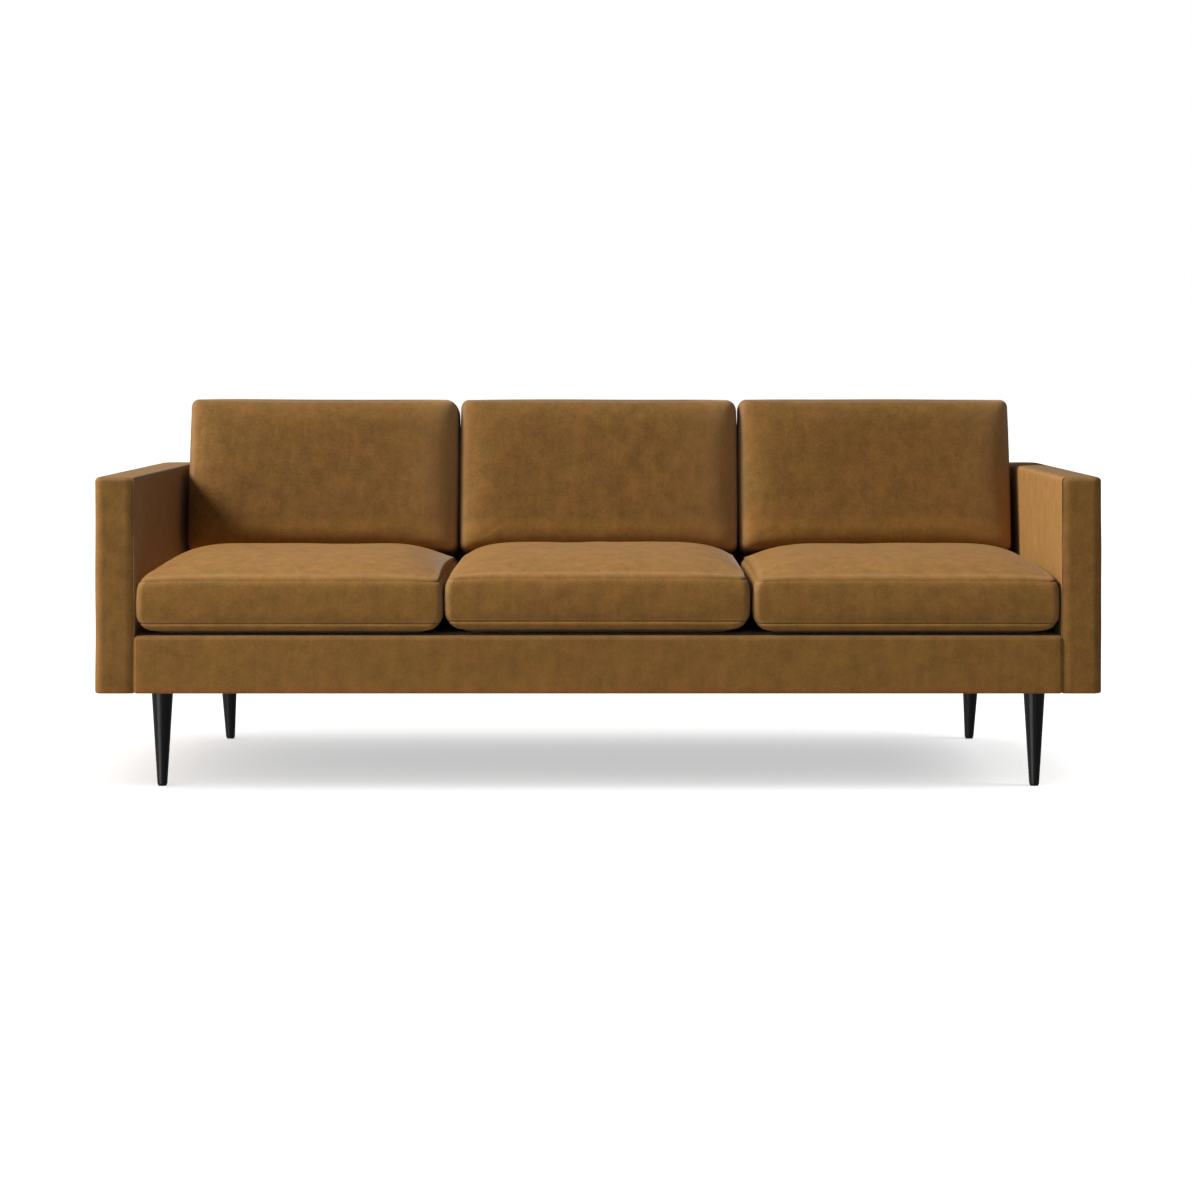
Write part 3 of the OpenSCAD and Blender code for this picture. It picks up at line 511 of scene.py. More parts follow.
# %% Rows of a seat cushion
def seat_section():
    """Rows from the middle of the sole to the middle of the top. For each row: the share of the outline,
    how far the front and the sides are pushed out, its height above the sole, its share of the crown, how
    much it is a seam, how much painted highlight it has, and how firmly it is held when the cushion swells."""
    flat = 0.82
    sole = np.concatenate([np.linspace(0, flat, 8), np.linspace(flat, 1, 10)[1:]])
    sole_rise = (SEAT_LOW_SEAM - ROLL_DROP) * np.clip((sole - flat) / (1 - flat), 0, 1) ** 2.2
    roll = ROLL_DROP * np.cos(np.linspace(0, math.pi / 2, 14)[1:-3])
    below = np.concatenate([roll, near_seam(0.006, 7)[::-1]])
    front = ROLL_OUT * (1 - bump(below, 0, 0.003)) - ROLL_IN * (1 - np.sqrt(1 - (below / ROLL_DROP) ** 3))
    front -= GROOVE * bump(below, 0, 0.0016)
    band = SEAT_TOP_SEAM - SEAT_LOW_SEAM
    rise = band_rows(band, 0.014, 9, 0.018, 17)
    swell = np.sin(math.pi * rise / band) ** 0.55
    falls = TOP_FALL * np.clip(1 - (band - rise) / TOP_FALL_REACH, 0, 1) ** 1.8
    rounding = round_in(rise + ROLL_DROP, SIDE_ROUND_LOW)
    rounding += SIDE_IN_TOP / SIDE_ROUND_TOP * round_in(band - rise, SIDE_ROUND_TOP)
    top = 1 - np.concatenate([near_seam(0.08, 18), np.linspace(0.10, 1.0, 40)])
    edge_turn = np.clip((1 - top) * seat_half.mean() / SEAT_CROWN_EDGE, 0, 1)
    return section_rows(
        (sole, -ROLL_IN * sole ** 6, -SIDE_ROUND_LOW * sole ** 6, sole_rise, 0, 0, 0, 1),
        (1, front, -round_in(ROLL_DROP - below, SIDE_ROUND_LOW), SEAT_LOW_SEAM - below, 0,
         0.5 * bump(below, 0, 0.0014), 0.05 * bump(below, 0.005, 0.003), 0.5),
        (1, -GROOVE - 0.0006, -GROOVE - round_in(ROLL_DROP, SIDE_ROUND_LOW), SEAT_LOW_SEAM, 0, 0.9, 0, 1),
        (1, FRONT_SWELL * swell - falls, SEAT_BULGE * swell - rounding + SIDE_SWELL, SEAT_LOW_SEAM + rise, 0,
         0.5 * bump(rise, 0, 0.0012) + 0.1 * bump(rise, band, 0.0012),
         0.25 * bump(rise, 0.004, 0.0025) + 0.15 * bump(band - rise, 0.003, 0.003), 0),
        (1, -TOP_FALL - 0.0001, -GROOVE - SIDE_IN_TOP, SEAT_TOP_SEAM, 0, 0.1, 0, 1),
        (top, -TOP_FALL + 0.0003, 0.0004 - SIDE_IN_TOP * top ** 10,
         SEAT_TOP_SEAM + SEAT_CROWN_EDGE * np.sqrt(1 - (1 - edge_turn) ** 2), 1,
         0.1 * bump(top, 1, 0.003), 0.35 * bump(top, 0.968, 0.018), 0))


section = seat_section()
print("seat section has", section.shape[1], "rows")

# %% Surface of a seat cushion
SEAT_SWELL_CAP = 0.0016
SEAT_CORNER_PAINTED_HIGHLIGHT = 0.35


def raised(flat, height):
    """Points of a grid from their flat places and the heights of its rows or points."""
    return np.dstack([flat, np.broadcast_to(height, flat.shape[:2])])


def crown_share(u, v):
    """Share of the crown at u across and v along, both from -1 to 1: it rises fast from the sides, slowly
    from the front, and is pressed down at the rear by the back cushion."""
    across = 1 - np.abs(u) ** SEAT_SIDE_POWER
    rear = (1 - np.abs(v) ** SEAT_SIDE_POWER) * (1 - 0.9 * np.abs(v) ** 1.8)
    return across * np.where(v > 0, rear, 1 - np.abs(v) ** SEAT_FRONT_POWER)


def seat_surface(middle, seed, lift, widen):
    """Points of one seat cushion and its marks. The seed gives its own soft unevenness, the lift raises
    everything above the sole a little, and each side is moved out by widen."""
    share, front, _, height, crowned, seam, edge, held = section[..., None]
    rims = []
    for row_share, row_front, row_side in section[:3].T:
        radius = row_share * (SEAT_RADIUS + 0.12 * (1 - row_share))
        pulls = np.array([0.001, SEAT_PULL] * 2) * row_share
        half = row_share * (seat_half + (row_side + widen, row_front))
        rims.append(outline(*half, [radius] * 4, pulls, 14, 46, 48))
    flat, outward, to_corner = (np.array(column) for column in zip(*rims))
    tight = bump(to_corner, 0, 0.05)
    above = np.clip(height / SEAT_TOP_SEAM, 0, 1)
    place = np.clip(flat / seat_half, -1, 1)
    crown = crowned * crown_share(place[..., 0], place[..., 1])
    z = seat_low[2] + height + np.clip(height / SEAT_LOW_SEAM, 0, 1) ** 0.4 * lift
    z = z - 0.0035 * tight * above ** 3 * share ** 6
    z = z + (SEAT_CROWN - SEAT_CROWN_EDGE - 0.4 * lift) * crown
    points = raised(flat + middle, z)
    points[..., :2] -= (0.002 * tight * above ** 3 * share ** 8)[..., None] * outward
    soft = np.clip(crown * 2, 0, 1) * (1 - 0.5 * crown ** 8)
    points[..., 2] += soft * (0.0010 * field(points, 0.26, seed) + 0.0004 * field(points, 0.08, seed + 1))
    band = (share > 0.999) * np.clip(front / FRONT_SWELL, 0, 1) * outward[..., 1] ** 2
    ripple = 0.0006 * field(points, 0.18, seed + 2) + 0.0003 * field(points, 0.045, seed + 3)
    points[..., :2] += (band * ripple)[..., None] * outward
    points += swelling("seat_cover", points, held[:, 0], to_corner, 4, 4, SEAT_SWELL_CAP)
    # Painted highlight on the upright corners of the band
    corner = np.abs(2 * outward[..., 0] * outward[..., 1]) * (share > 0.999) * above ** 0.5
    return points, {"seam": seam, "edge": edge + SEAT_CORNER_PAINTED_HIGHLIGHT * corner}


# %% Seat cushions
SIDES = {"left": -1, "centre": 0, "right": 1}
# How far a seat cushion is raised, set to the right and made wider on each side
SEAT_PLACES = {
    "left": (0.0, -0.0013, 0.0015),
    "centre": (0.0055, -0.0017, 0.0002),
    "right": (0.0005, 0.0003, 0.0015),
}
for side, place in SIDES.items():
    low, high = np.array(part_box("seat_cushion_" + side))
    lift, aside, widen = SEAT_PLACES[side]
    surface = seat_surface((low + high)[:2] / 2 + (aside, 0), 10 + 7 * place, lift, widen)
    cushion = piece("cushion_seat_" + side, surface, velvet, "seat_" + side, "velvet", "seat_cushion_" + side)
    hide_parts("seat_core_" + side)

# %% [markdown]
# A back cushion leans on the sloping back of the frame. It is softer than a seat: its front swells into a
# pillow with a wide round edge, and its rear stays flat against the frame. Its grid is worked out in a
# frame of its own, across, up the slope and out of its front, and then leaned back.

# %% Frame of a back cushion, from its foam block
RAKE = math.radians(11)
CORE_MIDDLE = 0.0645
BACK_THICK = 0.155
BACK_CROWN = 0.036
BACK_REAR_ROUND = 0.014
BACK_BULGE = 0.004
BACK_HEIGHT = 0.373
BACK_PULLS = (0.0, 0.0, 0.003, 0.0)
BACK_TOP_POWER = 8
BACK_LOW_POWER = 12
BACK_SIDE_POWER = 10
BACK_SWELL_CAP = 0.003
# Painted shade over each back cushion, and painted light on its right rim and on its lower part
BACK_PAINTED_SHADE = -1.2
BACK_RIM_PAINTED_LIGHT = 4.2
BACK_LOW_PAINTED_LIGHT = 1.5
# Middle across, width, and the radii of the four corners from the top right one on
BACK_SHAPES = {
    "left": (-0.6645, 0.651, (0.030, 0.017, 0.018, 0.018)),
    "centre": (-0.00225, 0.6705, (0.024, 0.018, 0.018, 0.018)),
    "right": (0.662, 0.656, (0.018, 0.016, 0.018, 0.016)),
}

ACROSS = np.array([1, 0, 0])
UP_SLOPE = np.array([0, math.sin(RAKE), math.cos(RAKE)])
OUT_FRONT = np.array([0, -math.cos(RAKE), math.sin(RAKE)])
print("a back cushion leans by %.0f degrees" % math.degrees(RAKE))

# %% Rows of a back cushion
def back_section():
    """Rows from the middle of the rear panel to the middle of the front panel: share of the outline, how far
    the row is pushed out, its thickness coordinate, the two marks and how firmly it is held."""
    band_low, band_high = BACK_REAR_ROUND, BACK_THICK - BACK_CROWN
    band = band_high - band_low
    rear = np.concatenate([np.linspace(0, 0.8, 8), 1 - near_seam(0.16, 9)[::-1]])
    rear_thick = (BACK_REAR_ROUND * (1 - 1.1 * (1 - rear ** 6) ** 0.5)).clip(0)
    rise = band_rows(band, 0.010, 6, 0.015, 9)
    swell = BACK_BULGE * np.sin(math.pi * rise / band) ** 0.6
    front = 1 - np.concatenate([near_seam(0.12, 16), np.linspace(0.15, 1, 34)])
    front_thick = band_high + BACK_CROWN * (1 - front ** 40) ** 0.5
    # The edge mark is a painted highlight at the top of the band and along the rim of the front panel
    return section_rows(
        (rear, 0, rear_thick, 0, 0, 1),
        (1, -0.001, band_low, 1, 0, 1),
        (1, swell, band_low + rise, 0, 0, 0.2),
        (1, -0.0008, band_high, 0.7, 0.2, 1),
        (front, 0, front_thick, 0, 0.5 * bump(front, 0.985, 0.02), 0))


# %% Surface of a back cushion
def back_surface(origin, width, radii, seed):
    """Points of one back cushion and its marks, leaned back from the middle of its rear face."""
    share, out, thick, seam, edge, held = back_section()[..., None]
    half = np.array([width, BACK_HEIGHT]) / 2 - BACK_BULGE
    line, outward, to_corner = outline(*half, radii, BACK_PULLS, 14, 52, 34)
    tight = bump(to_corner, 0, 0.05)[None, :]
    flat = share[..., None] * line[None] + (out - 0.001 * tight * share ** 8)[..., None] * outward[None]
    local = raised(flat, thick)
    place = np.clip(np.abs(flat) / half, 0, 1)
    crowned = np.clip(local[..., 2] - (BACK_THICK - BACK_CROWN), 0, None)
    upward = np.where(flat[..., 1] > 0, BACK_TOP_POWER, BACK_LOW_POWER)
    kept = np.sqrt((1 - place[..., 0] ** BACK_SIDE_POWER) * (1 - place[..., 1] ** upward))
    local[..., 2] -= crowned * (1 - kept)
    front = np.clip(2 * thick / BACK_THICK - 1, 0, 1) * (1 - share ** 10)
    local[..., 2] += front * (0.0012 * field(local, 0.34, seed) + 0.0004 * field(local, 0.10, seed + 1))
    above = np.clip(2 * flat[..., 1] / BACK_HEIGHT, 0, 1) ** 2
    local[..., 1] += 0.0008 * above * field(local[..., :1] * [1, 0, 0], 0.35, seed + 2)
    points = origin + local @ np.stack([ACROSS, UP_SLOPE, OUT_FRONT])
    from_tips = np.linalg.norm(np.abs(flat) - (width / 2, BACK_HEIGHT / 2), axis=2)
    points += swelling("back_cover", points, held[:, 0], from_tips, 3, 3, BACK_SWELL_CAP)
    # The right rim also gets a painted highlight through the edge mark
    rim = np.clip(place[..., 0] * np.sign(flat[..., 0]), 0, 1) ** 6
    low = np.clip((-2 * flat[..., 1] / BACK_HEIGHT - 0.55) / 0.15, 0, 1)
    top_band = np.clip(outward[:, 1], 0, 1)[None] * (share > 0.999)
    # Painted shade over the whole cushion and on the top of the band, and painted light on the right rim and
    # the lower part
    nap = BACK_PAINTED_SHADE + BACK_RIM_PAINTED_LIGHT * rim + BACK_LOW_PAINTED_LIGHT * low - top_band
    return points, {"seam": seam, "edge": edge + 0.9 * rim, "nap": nap}


# %% Back cushions
for side, place in SIDES.items():
    low, high = np.array(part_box("back_core_" + side))
    middle_x, width, radii = BACK_SHAPES[side]
    origin = (low + high) / 2 - CORE_MIDDLE * OUT_FRONT
    origin[0] = middle_x
    surface = back_surface(origin, width, radii, 50 + 9 * place)
    cushion = piece("cushion_back_" + side, surface, velvet, "back_" + side, "velvet", "back_cushion_" + side)
    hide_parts("back_core_" + side)

# %% [markdown]
# Each arm is a thin padded block. Its front panel is sewn to the inner side along the sharp inner edge, and
# everywhere else the cloth turns softly over the padding. So the outline of the arm, seen from above, has
# soft corners and a tight one at the inner front, and it is carried up and over the top.

# %% Outline of an arm
# Radii of the outer and the inner corner, at the rear and then at the front
ARM_RADII = {1: (0.040, 0.006), -1: (0.020, 0.003)}
ARM_LEAST_RADIUS = 0.0004
ARM_TOP_ROUND = 0.010
ARM_PANEL_FALL = 0.0045
ARM_PANEL_REACH = 0.020


def arm_outline(low, high, inner_sign, inset=0.0):
    """Outline of an arm from above, anticlockwise, with the tight corner at its inner front, and drawn in by
    an inset. The front panel falls back towards that seam, and less where the arm rounds over."""
    half = (high - low)[:2] / 2 - inset
    radii = [max(ARM_RADII[sign_y][int(sign_x == inner_sign)] - inset, ARM_LEAST_RADIUS)
             for sign_x, sign_y in CORNER_SIGNS]
    line, outward, _ = outline(*half, radii, (0, 0, 0, 0), 8, 30, 70)
    from_seam = np.abs(line[:, 0] - inner_sign * half[0])
    on_front = np.clip(-outward[:, 1], 0, 1)
    fall = ARM_PANEL_FALL * max(0, 1 - inset / (0.6 * ARM_TOP_ROUND))
    line[:, 1] += fall * on_front * (1 - np.clip(from_seam / ARM_PANEL_REACH, 0, 1)) ** 2
    return line + (low + high)[:2] / 2, outward, on_front * bump(from_seam, 0, 0.004)


# %% Arms
ARM_BOTTOM_ROUND = 0.004
ARM_BOTTOM_SAG = 0.002
# Painted shade on the front panel and painted light on the inner panel, of the left arm and of the right one;
# painted shade on the top
ARM_FRONT_PAINTED_SHADES = {-1: -0.85, 1: -0.35}
ARM_INNER_PAINTED_LIGHTS = {-1: 0.2, 1: 1.4}
ARM_TOP_PAINTED_SHADE = -0.3


def arm_surface(low, high, inner_sign, seed):
    """Rows from the middle of the underside up the sides and over the top to the middle line, and their
    marks. The underside hangs a little below the frame's cover."""
    line, outward, mark = arm_outline(low, high, inner_sign)
    half = (high[0] - low[0]) / 2
    ridge_y = np.clip(line[:, 1], low[1] + half, high[1] - half)
    ridge = np.stack([np.full(len(line), low[0] + half), ridge_y], 1)
    turn = np.linspace(0, math.pi / 2, 9)
    floor = low[2] - ARM_BOTTOM_SAG
    tall = high[2] - floor
    sides = np.linspace(ARM_BOTTOM_ROUND, tall - ARM_TOP_ROUND, 60)[1:-1]
    inward, inset, height = section_rows(
        ([1, 0.75, 0.5, 0.25, 0.1], ARM_BOTTOM_ROUND, 0),
        (0, ARM_BOTTOM_ROUND * (1 - np.sin(turn)), ARM_BOTTOM_ROUND * (1 - np.cos(turn))),
        (0, 0, sides),
        (0, ARM_TOP_ROUND * (1 - np.cos(turn)), tall - ARM_TOP_ROUND * (1 - np.sin(turn))),
        (np.linspace(0, 1, 7)[1:], ARM_TOP_ROUND, tall))
    rim = np.array([arm_outline(low, high, inner_sign, row_inset)[0] for row_inset in inset])
    points = raised(rim + inward[:, None, None] * (ridge[None] - rim), (floor + height)[:, None])
    inward, height = inward[:, None], height[:, None]
    wall = inward == 0
    puff = np.sin(math.pi * np.clip(height / tall, 0, 1)) ** 0.4 * wall
    free = np.clip(1 - outward[:, 0] * inner_sign, 0, 1)
    points[..., :2] += (puff * free * 0.0009 * field(points, 0.22, seed))[..., None] * outward[None]
    top = inward * (height > tall / 2)
    points[..., 2] += 0.0012 * top + 0.0004 * (top > 0) * field(points, 0.15, seed)
    fade = wall * np.clip((tall - 1.2 * ARM_TOP_ROUND - height) / 0.012, 0, 1)
    on_front, on_inner = np.clip(-outward[:, 1], 0, 1), np.clip(outward[:, 0] * inner_sign, 0, 1)
    # Painted highlight along the inner front corner and along the rounded top
    lip = bump(np.abs(line[:, 1] - low[1]), 0, 0.006) * (on_inner > 0.3)
    edge = 0.25 * bump(height, tall - 0.004, 0.006) + 0.8 * lip * fade
    # Painted light and shade on the front, the inner side and the top of the arm
    nap = ARM_FRONT_PAINTED_SHADES[-inner_sign] * on_front + ARM_INNER_PAINTED_LIGHTS[-inner_sign] * on_inner
    nap = nap * wall + ARM_TOP_PAINTED_SHADE * (top > 0)
    # Painted reddish bounce light from the floor along the bottom of the front
    fold = on_front * wall * bump(height, 0.005, 0.006)
    return points, {"seam": 0.7 * mark * fade, "edge": edge, "nap": nap, "fold": fold}


for side, sign in (("left", -1), ("right", 1)):
    low, high = np.array(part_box("arm_cover_" + side))
    surface = arm_surface(low, high, -sign, 80 + sign)
    arm = piece("arm_panel_" + side, surface, velvet, "sofa_frame", "velvet", "arm_cover_" + side)
    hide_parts("arm_pad_" + side)

# %% [markdown]
# The front rail, the deck, and the inside and outside of the back are cloth drawn tight over a little
# padding. Each is a strip: a section in the plane across the rail, carried from arm to arm. The
# ends of the strip turn in by a few millimetres and are darkened there with painted shade, which makes
# the fine dark joint beside each arm.

# %% Strips from arm to arm
SHEET = 0.0015
STRIP_COLUMNS = 150


def resample(corners, step):
    """Points along a polyline, evenly spaced at about the given step, with its corners kept."""
    points = []
    for first, second in zip(corners, corners[1:]):
        count = max(1, round(math.dist(first, second) / step))
        points += np.linspace(first, second, count, endpoint=False).tolist()
    return points + [corners[-1]]


def arc(centre, radius, start, stop, steps=7):
    """Points on a circle in the y z plane, from one angle in degrees to another."""
    turn = np.radians(np.linspace(start, stop, steps))
    return [(centre[0] + radius * math.cos(a), centre[1] + radius * math.sin(a)) for a in turn]


def carried(line, x):
    """Grid of a line in the y z plane, carried along x."""
    return np.dstack(np.broadcast_arrays(x[None], line[:, :1], line[:, 1:]))


def strip_surface(face, x_low, x_high, end_round, puff, seed):
    """Closed strip: the face line and the same line moved in by the sheet's thickness, carried along x. Near
    both ends the face sinks by a quarter circle of the end radius. The face swells a little and is uneven."""
    face = np.array(face)
    along = np.gradient(face, axis=0)
    normal = np.stack([-along[:, 1], along[:, 0]], 1)
    normal /= np.linalg.norm(normal, axis=1, keepdims=True)
    ends = end_round * (1 - np.cos(np.linspace(0, math.pi / 2, 7)))
    between = np.linspace(x_low + end_round, x_high - end_round, STRIP_COLUMNS)[1:-1]
    x = np.concatenate([x_low + ends, between, (x_high - ends)[::-1]])
    sink = round_in(np.minimum(x - x_low, x_high - x), end_round)
    front = carried(face, x)
    fade = np.sin(math.pi * np.linspace(0, 1, len(face)))[:, None]
    wavy = puff * fade * field(front, 0.25, seed) - np.abs(normal[:, 1:]) ** 2 * puff
    move = wavy * (1 - np.abs(normal[:, 1:]) ** 4) - sink
    front[..., 1:] += move[..., None] * normal[:, None]
    return np.concatenate([front, carried(face - SHEET * normal, x)[::-1]]), sink / end_round


def strip_piece(name, surface, replaced, slot="velvet", material=velvet, fill=0.9, **marks):
    """Mesh of a closed strip: its section is joined round, and its two ends are capped. marks are values
    along the face line, such as painted shade and painted reddish bounce light. fill is not used."""
    points, ends = surface
    turned = points.transpose(1, 0, 2)
    first, last = np.broadcast_to(turned[[0, -1]].mean(1, keepdims=True), (2, *turned.shape[1:]))
    # The seam mark at the ends darkens them: painted shade in the joint beside each arm
    attributes = {"seam": 0.8 * np.pad(ends, 1)[:, None]}
    for key, values in marks.items():
        attributes[key] = np.pad(values, (0, turned.shape[1] - len(values)))[None]
    surface = np.concatenate([[first], turned, [last]]), attributes
    strip = piece(name, surface, material, "sofa_frame", slot, *replaced)
    return strip


# %% Front rail
RAIL_ROUND = 0.010
RAIL_LOW_ROUND = 0.004
RAIL_SAG = 0.002

rail_low, rail_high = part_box("front_rail_cover")
rail_floor = rail_low[2] - RAIL_SAG
rail_bottom = arc((rail_low[1] + RAIL_LOW_ROUND, rail_floor + RAIL_LOW_ROUND), RAIL_LOW_ROUND, 260, 180)
rail_top = arc((rail_low[1] + RAIL_ROUND, rail_high[2] - RAIL_ROUND), RAIL_ROUND, 180, 90, 11)
rail_face = (rail_bottom + resample([rail_bottom[-1], rail_top[0]], 0.006)[1:-1] + rail_top
             + [(rail_low[1] + 0.018, rail_high[2]), (rail_high[1], rail_high[2])])
rail_z = np.array(rail_face)[:, 1]
# Painted shade along the top edge of the rail, and painted reddish bounce light along its bottom
strip_piece("front_rail_panel", strip_surface(rail_face, rail_low[0], rail_high[0], 0.005, 0.0008, 95),
            ["front_rail_cover", "front_rail_pad"],
            nap=-1.2 * bump(rail_z, rail_high[2], 0.007), fold=bump(rail_z, rail_floor + 0.005, 0.006))

# %% Inside of the back, over its top edge
EDGE_ROUND = 0.009

back_low, back_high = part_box("inside_back_cover")


def slope_y(z, inset=0.0):
    """Place of the sloping inside face at a height, moved into the back by an inset."""
    return back_low[1] + (z - back_low[2]) * math.tan(RAKE) + inset / math.cos(RAKE)


round_z = back_high[2] - EDGE_ROUND
top_round = arc((slope_y(round_z, EDGE_ROUND), round_z), EDGE_ROUND, 180 - math.degrees(RAKE), 90, 9)
back_face = (resample([(slope_y(back_low[2] + 0.002), back_low[2] + 0.002), top_round[0]], 0.008)[:-1]
             + top_round + resample([top_round[-1], (back_high[1] - 0.001, back_high[2])], 0.008)[1:])
strip_piece("inside_back_panel", strip_surface(back_face, back_low[0], back_high[0], 0.004, 0.0007, 120),
            ["inside_back_cover", "back_pad"])

# %% Outside of the back, down to the underside
outer_low, outer_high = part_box("outside_back_cover")
outer_floor = outer_low[2] - RAIL_SAG
outer_round = arc((outer_high[1] - EDGE_ROUND, outer_floor + EDGE_ROUND), EDGE_ROUND, 0, -90)
top_edge = arc((outer_high[1] - 0.003, outer_high[2] - 0.003), 0.003, 90, 0, 5)
outer_face = (top_edge + resample([top_edge[-1], outer_round[0]], 0.008)[1:-1] + outer_round
              + [(outer_low[1], outer_floor)])
strip_piece("outside_back_panel", strip_surface(outer_face, outer_low[0], outer_high[0], 0.004, 0.0009, 130),
            ["outside_back_cover", "outside_back_pad"])

# %% [markdown]
# Under the seat cushions the deck is hidden, so its maker saves velvet: only a strip behind the front
# rail is velvet, and a plain strong twill runs on to the back. Both are one tight padded surface with a
# seam between them. Below the base a thin black cloth, stapled along its edges, keeps the dust out.

# %% Plain cloths for the deck and the underside
# Length of one wave of the wave texture at a scale of 1
WAVE_LENGTH = 0.314


def woven_material(name, color, spacing, depth):
    """Plain woven cloth: two crossing waves of thread on Object coordinates, and a little dust."""
    material, tree, place = new_material(name)
    inputs = {"Vector": place, "Scale": WAVE_LENGTH / spacing, "Distortion": 0.6}
    threads = [add_node(tree, "TexWave", inputs, bands_direction=axis)["Fac"] for axis in "XY"]
    weave = math_node(tree, "MULTIPLY", *threads)
    dust = ramp(tree, noise(tree, place, 9, 5, 0.6), 0.35, 0.7, 0.85, 1.2)
    shade = math_node(tree, "MULTIPLY", ramp(tree, weave, 0, 1, 0.8, 1.15), dust)
    put_out(tree, shaded(tree, (*color, 1), shade), 0.85, weave, depth, plain={"Specular IOR Level": 0.2})
    return material


twill = woven_material("deck_twill", (0.085, 0.050, 0.022), 0.0022, 0.0003)
dust_cloth = woven_material("dust_cloth", (0.012, 0.012, 0.012), 0.0016, 0.0001)

# %% Deck
DECK_STRIP = 0.110

deck_low, deck_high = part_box("deck_cover")
deck_seam, deck_z = deck_low[1] + DECK_STRIP, deck_high[2]
deck_face = resample([(deck_low[1] + 0.0005, deck_z), (deck_seam - 0.003, deck_z),
                      (deck_seam, deck_z - 0.0012), (deck_seam + 0.003, deck_z),
                      (deck_high[1], deck_z)], 0.010)
deck = strip_piece("deck_panel", strip_surface(deck_face, deck_low[0], deck_high[0], 0.003, 0.0003, 140),
                   ["deck_cover", "deck_pad", "deck_felt"])
deck.data.materials.append(twill)
for face in deck.data.polygons:
    face.material_index = int(face.center.y > deck_seam)

# %% Dust cloth under the base
DUST_SAG = 0.0012

dust_low, dust_high = np.array(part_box("dust_cover"))
dust_size = dust_high - dust_low
share = np.dstack(np.meshgrid(np.linspace(0, 1, 160), np.linspace(0, 1, 60)))
sag = np.sin(math.pi * share).prod(-1) ** 0.3
dust_flat = raised(dust_low[:2] + share * dust_size[:2], dust_high[2])
dust_under = dust_flat.copy()
dust_under[..., 2] = dust_low[2] - sag * DUST_SAG - 0.0002 * sag * field(dust_flat, 0.2, 150)
dust_loop = np.concatenate([dust_under, dust_flat[::-1]])
dust_sheet = strip_piece("dust_sheet", (dust_loop, np.zeros(160)), ["dust_cover"],
                         slot="dust_cloth", material=dust_cloth, fill=None)

# %% [markdown]
# The legs are turned from solid wood and stained almost black. A turned part is a profile swept round
# its axis, so a leg needs only its radius at each height. The rear pair leans back, so each ring of a rear
# leg slides back as it goes down. The foot has a small round edge above its glide.

# %% Dark wood whose fine grain runs along the leg: it mixes two tones and roughens the wood
espresso, tree, place = new_material("espresso_wood")
grain = ramp(tree, noise(tree, place, 260, 4, 0.6, (1, 1, 0.03)), 0.3, 0.7)
broad = ramp(tree, noise(tree, place, 30, 3, 0.5, (1, 1, 0.12)), 0.3, 0.7)
both = weighted_sum(tree, 0.0, (grain, 0.6), (broad, 0.4))
tone = mix_color(tree, both, (0.0018, 0.0013, 0.0012, 1), (0.006, 0.004, 0.0034, 1))
put_out(tree, tone, ramp(tree, both, 0, 1, 0.26, 0.36), grain, 0.0001, 0.4, {"Specular IOR Level": 0.45})
print("wood made")

# %% Legs
LEG_TOP = 0.0237
LEG_FOOT = 0.01075
FOOT_ROUND = 0.0022
LEG_COLUMNS = 48


def leg_surface(low, high, lean):
    """Rings from the middle of the foot to the middle of the top. The radius grows evenly with height, and
    near the foot it follows a quarter circle. Each ring slides back by the lean."""
    tall = high[2] - low[2]
    turn = np.linspace(0, math.pi / 2, 7)
    straight = np.linspace(FOOT_ROUND, tall, 40)[1:]
    height = np.concatenate([[0], FOOT_ROUND * (1 - np.cos(turn)), straight, [tall]])
    radius = LEG_FOOT + (LEG_TOP - LEG_FOOT) * height / tall
    radius[1:8] -= FOOT_ROUND * (1 - np.sin(turn))
    radius[0] = radius[-1] = 0
    radius, height = radius[:, None], height[:, None]
    angle = np.linspace(0, 2 * math.pi, LEG_COLUMNS, endpoint=False)
    x = (low[0] + high[0]) / 2 + radius * np.cos(angle)
    y = low[1] + (tall - height) * math.tan(lean) + (LEG_TOP + radius * np.sin(angle)) / math.cos(lean)
    return raised(np.dstack([x, y]), low[2] + height)


for name, lean in (("front_left", 0), ("front_right", 0), ("rear_left", RAKE), ("rear_right", RAKE)):
    surface = [leg_surface(*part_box("leg_" + name), lean)]
    piece("wood_leg_" + name, surface, espresso, "sofa_frame", "leg_wood", "leg_" + name)

# %% [markdown]
# The frame inside keeps its own solids. Each gets the finish of its slot: raw timber, foam, steel, webbing
# and felt. They are out of sight in the finished sofa, but the part is also used opened up.

# %% Materials of the hidden solids
def plain_material(name, first, second, scale, rough, metallic=0.0, depth=0.0002, stretch=None):
    """Two tones mixed by noise, with a fine relief from the same noise."""
    material, tree, place = new_material(name)
    marks = ramp(tree, noise(tree, place, scale, 5, 0.6, stretch), 0.3, 0.7)
    tone = mix_color(tree, marks, (*first, 1), (*second, 1))
    roughness = ramp(tree, marks, 0, 1, rough - 0.07, rough + 0.07)
    put_out(tree, tone, roughness, marks, depth, plain={"Metallic": metallic})
    return material


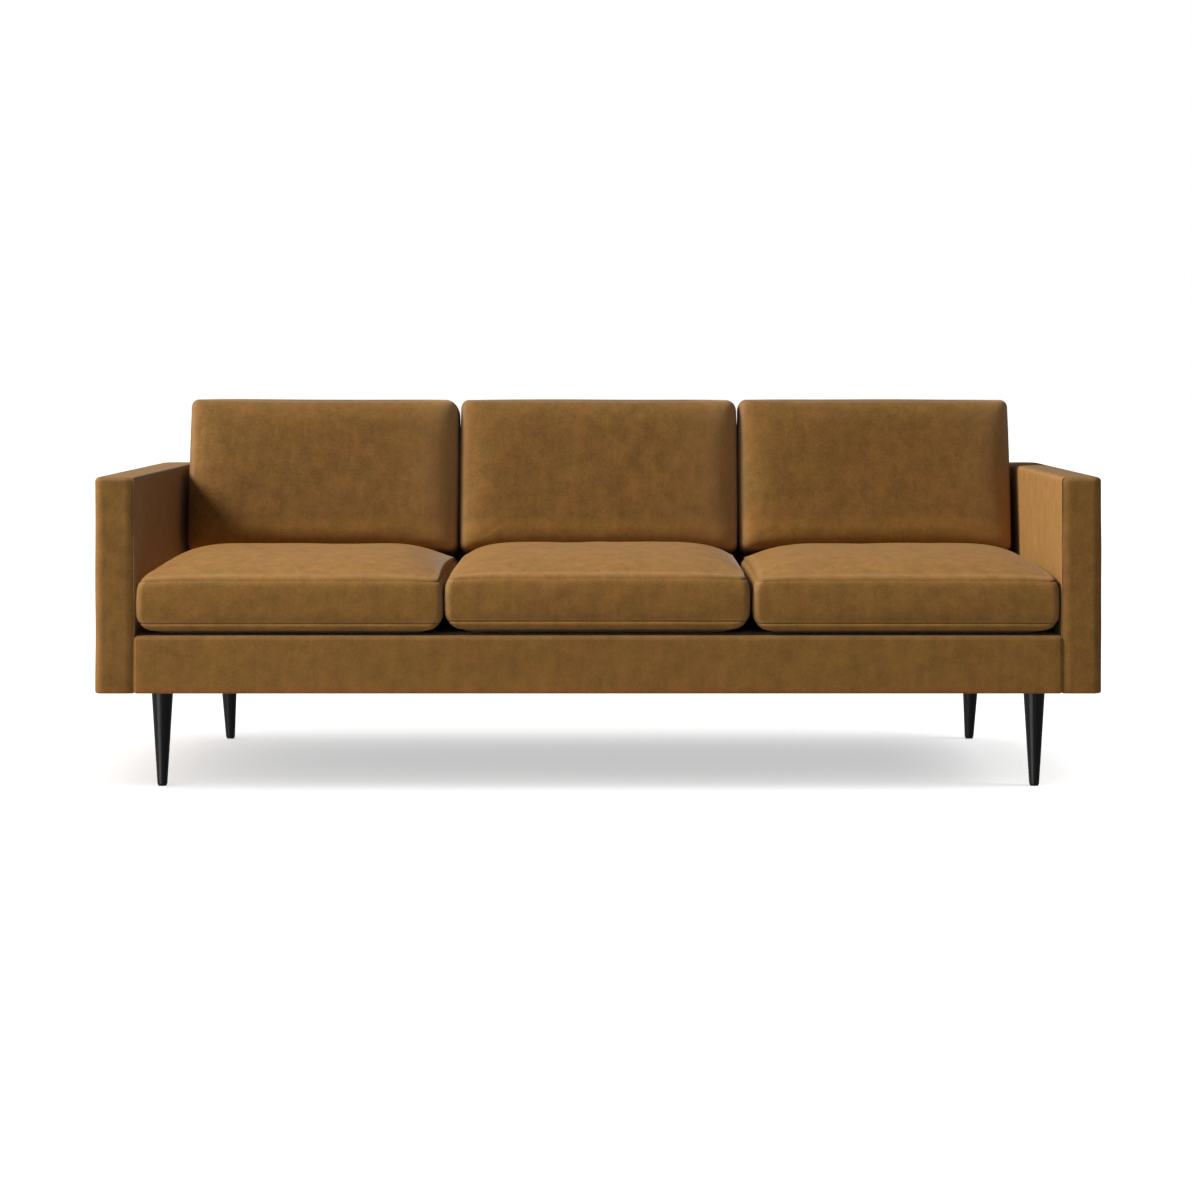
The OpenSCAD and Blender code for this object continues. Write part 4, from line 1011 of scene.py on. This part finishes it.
SLOT_MATERIALS = {
    "frame_timber": plain_material("raw_timber", (0.50, 0.31, 0.13), (0.66, 0.45, 0.22), 60, 0.6,
                                   stretch=(0.08, 1, 1)),
    "foam": plain_material("cut_foam", (0.74, 0.66, 0.42), (0.84, 0.77, 0.54), 400, 0.9, depth=0.0006),
    "steel": plain_material("zinc_steel", (0.46, 0.46, 0.47), (0.58, 0.58, 0.58), 180, 0.38, 1.0, 0.00005),
    "webbing": woven_material("jute_webbing", (0.07, 0.055, 0.045), 0.003, 0.0006),
    "felt": plain_material("grey_felt", (0.17, 0.17, 0.165), (0.28, 0.275, 0.265), 300, 0.95, depth=0.0006),
    "glide_plastic": plain_material("glide_plastic", (0.016, 0.016, 0.016), (0.024, 0.024, 0.024), 500, 0.5,
                                    depth=0.00003),
    "leg_wood": espresso,
    "dust_cloth": dust_cloth,
    "velvet": velvet,
}
for node in frame["nodes"].values():
    for material_slot in node.material_slots:
        material_slot.material = SLOT_MATERIALS[material_slot.material.name.split(".")[0]]
print(len(SLOT_MATERIALS), "finishes for", len(frame["nodes"]), "solids")

# %% [markdown]
# One wide key lamp from the upper left makes the inner side of the right arm bright, and a weak wide lamp
# fills the front. Both leave out the floor that the camera sees, whose own lamp makes the shadow longer on
# the left. In the photograph the left arm throws a shadow on the back cushion, but none on the seat beside
# it. So the seats leave the key lamp and have one of their own from higher up, in which only cushions throw
# shadows. The lamp of the legs is low on the left, for the pale streak that their polish shows.

# %% Wide lamps
TARGET = np.array([0, 0, 0.4])
seats = [bpy.data.objects["cushion_seat_" + side] for side in SIDES]
backs = [bpy.data.objects["cushion_back_" + side] for side in SIDES]
legs = [thing for thing in scene.objects if thing.name.startswith("wood_leg_")]
# Direction from the sofa, distance, diameter, level, what is lit or left out, and what alone throws shadows
LAMPS = {
    "key_lamp": ((-0.85, -0.207, 0.64), 14, 5.2, 1.67, "EXCLUDE", [seen_floor] + seats, None),
    "front_lamp": ((-0.85, -1.0, 0.20), 9, 4, 0.11, "EXCLUDE", [seen_floor], None),
    "floor_lamp": ((0.75, -0.10, 0.50), 14, 6, 0.12, "INCLUDE", [seen_floor], None),
    "seat_lamp": ((-0.85, -0.26, 1.0), 14, 4.6, 1.70, "INCLUDE", seats, seats + backs),
    "leg_lamp": ((-0.656, -0.755, -0.25), 9, 6, 0.2, "INCLUDE", legs, legs),
}


def linked(name, things, state="INCLUDE"):
    """Collection of things that a lamp includes or excludes."""
    group = bpy.data.collections.new(name)
    for thing in things:
        group.objects.link(thing)
    for member in group.collection_objects:
        member.light_linking.link_state = state
    return group


def lamp(name, towards, distance, size, level, state, things, blockers):
    """Round lamp that faces the sofa from a direction. At its level a white sheet turned to it shows that
    value: the power is the level times pi squared times the distance squared."""
    data = bpy.data.lights.new(name, "AREA")
    data.shape = "DISK"
    data.size = size
    data.energy = level * math.pi ** 2 * distance ** 2
    light = bpy.data.objects.new(name, data)
    facing = np.array(towards) / np.linalg.norm(towards)
    light.location = TARGET + facing * distance
    light.rotation_euler = (0, math.acos(facing[2]), math.atan2(facing[1], facing[0]))
    light.visible_camera = False
    light.light_linking.receiver_collection = linked(name + "_receivers", things, state)
    if blockers:
        light.light_linking.blocker_collection = linked(name + "_blockers", blockers)
    scene.collection.objects.link(light)
    print(name, "%.0f W" % data.energy)


for name, values in LAMPS.items():
    lamp(name, *values)
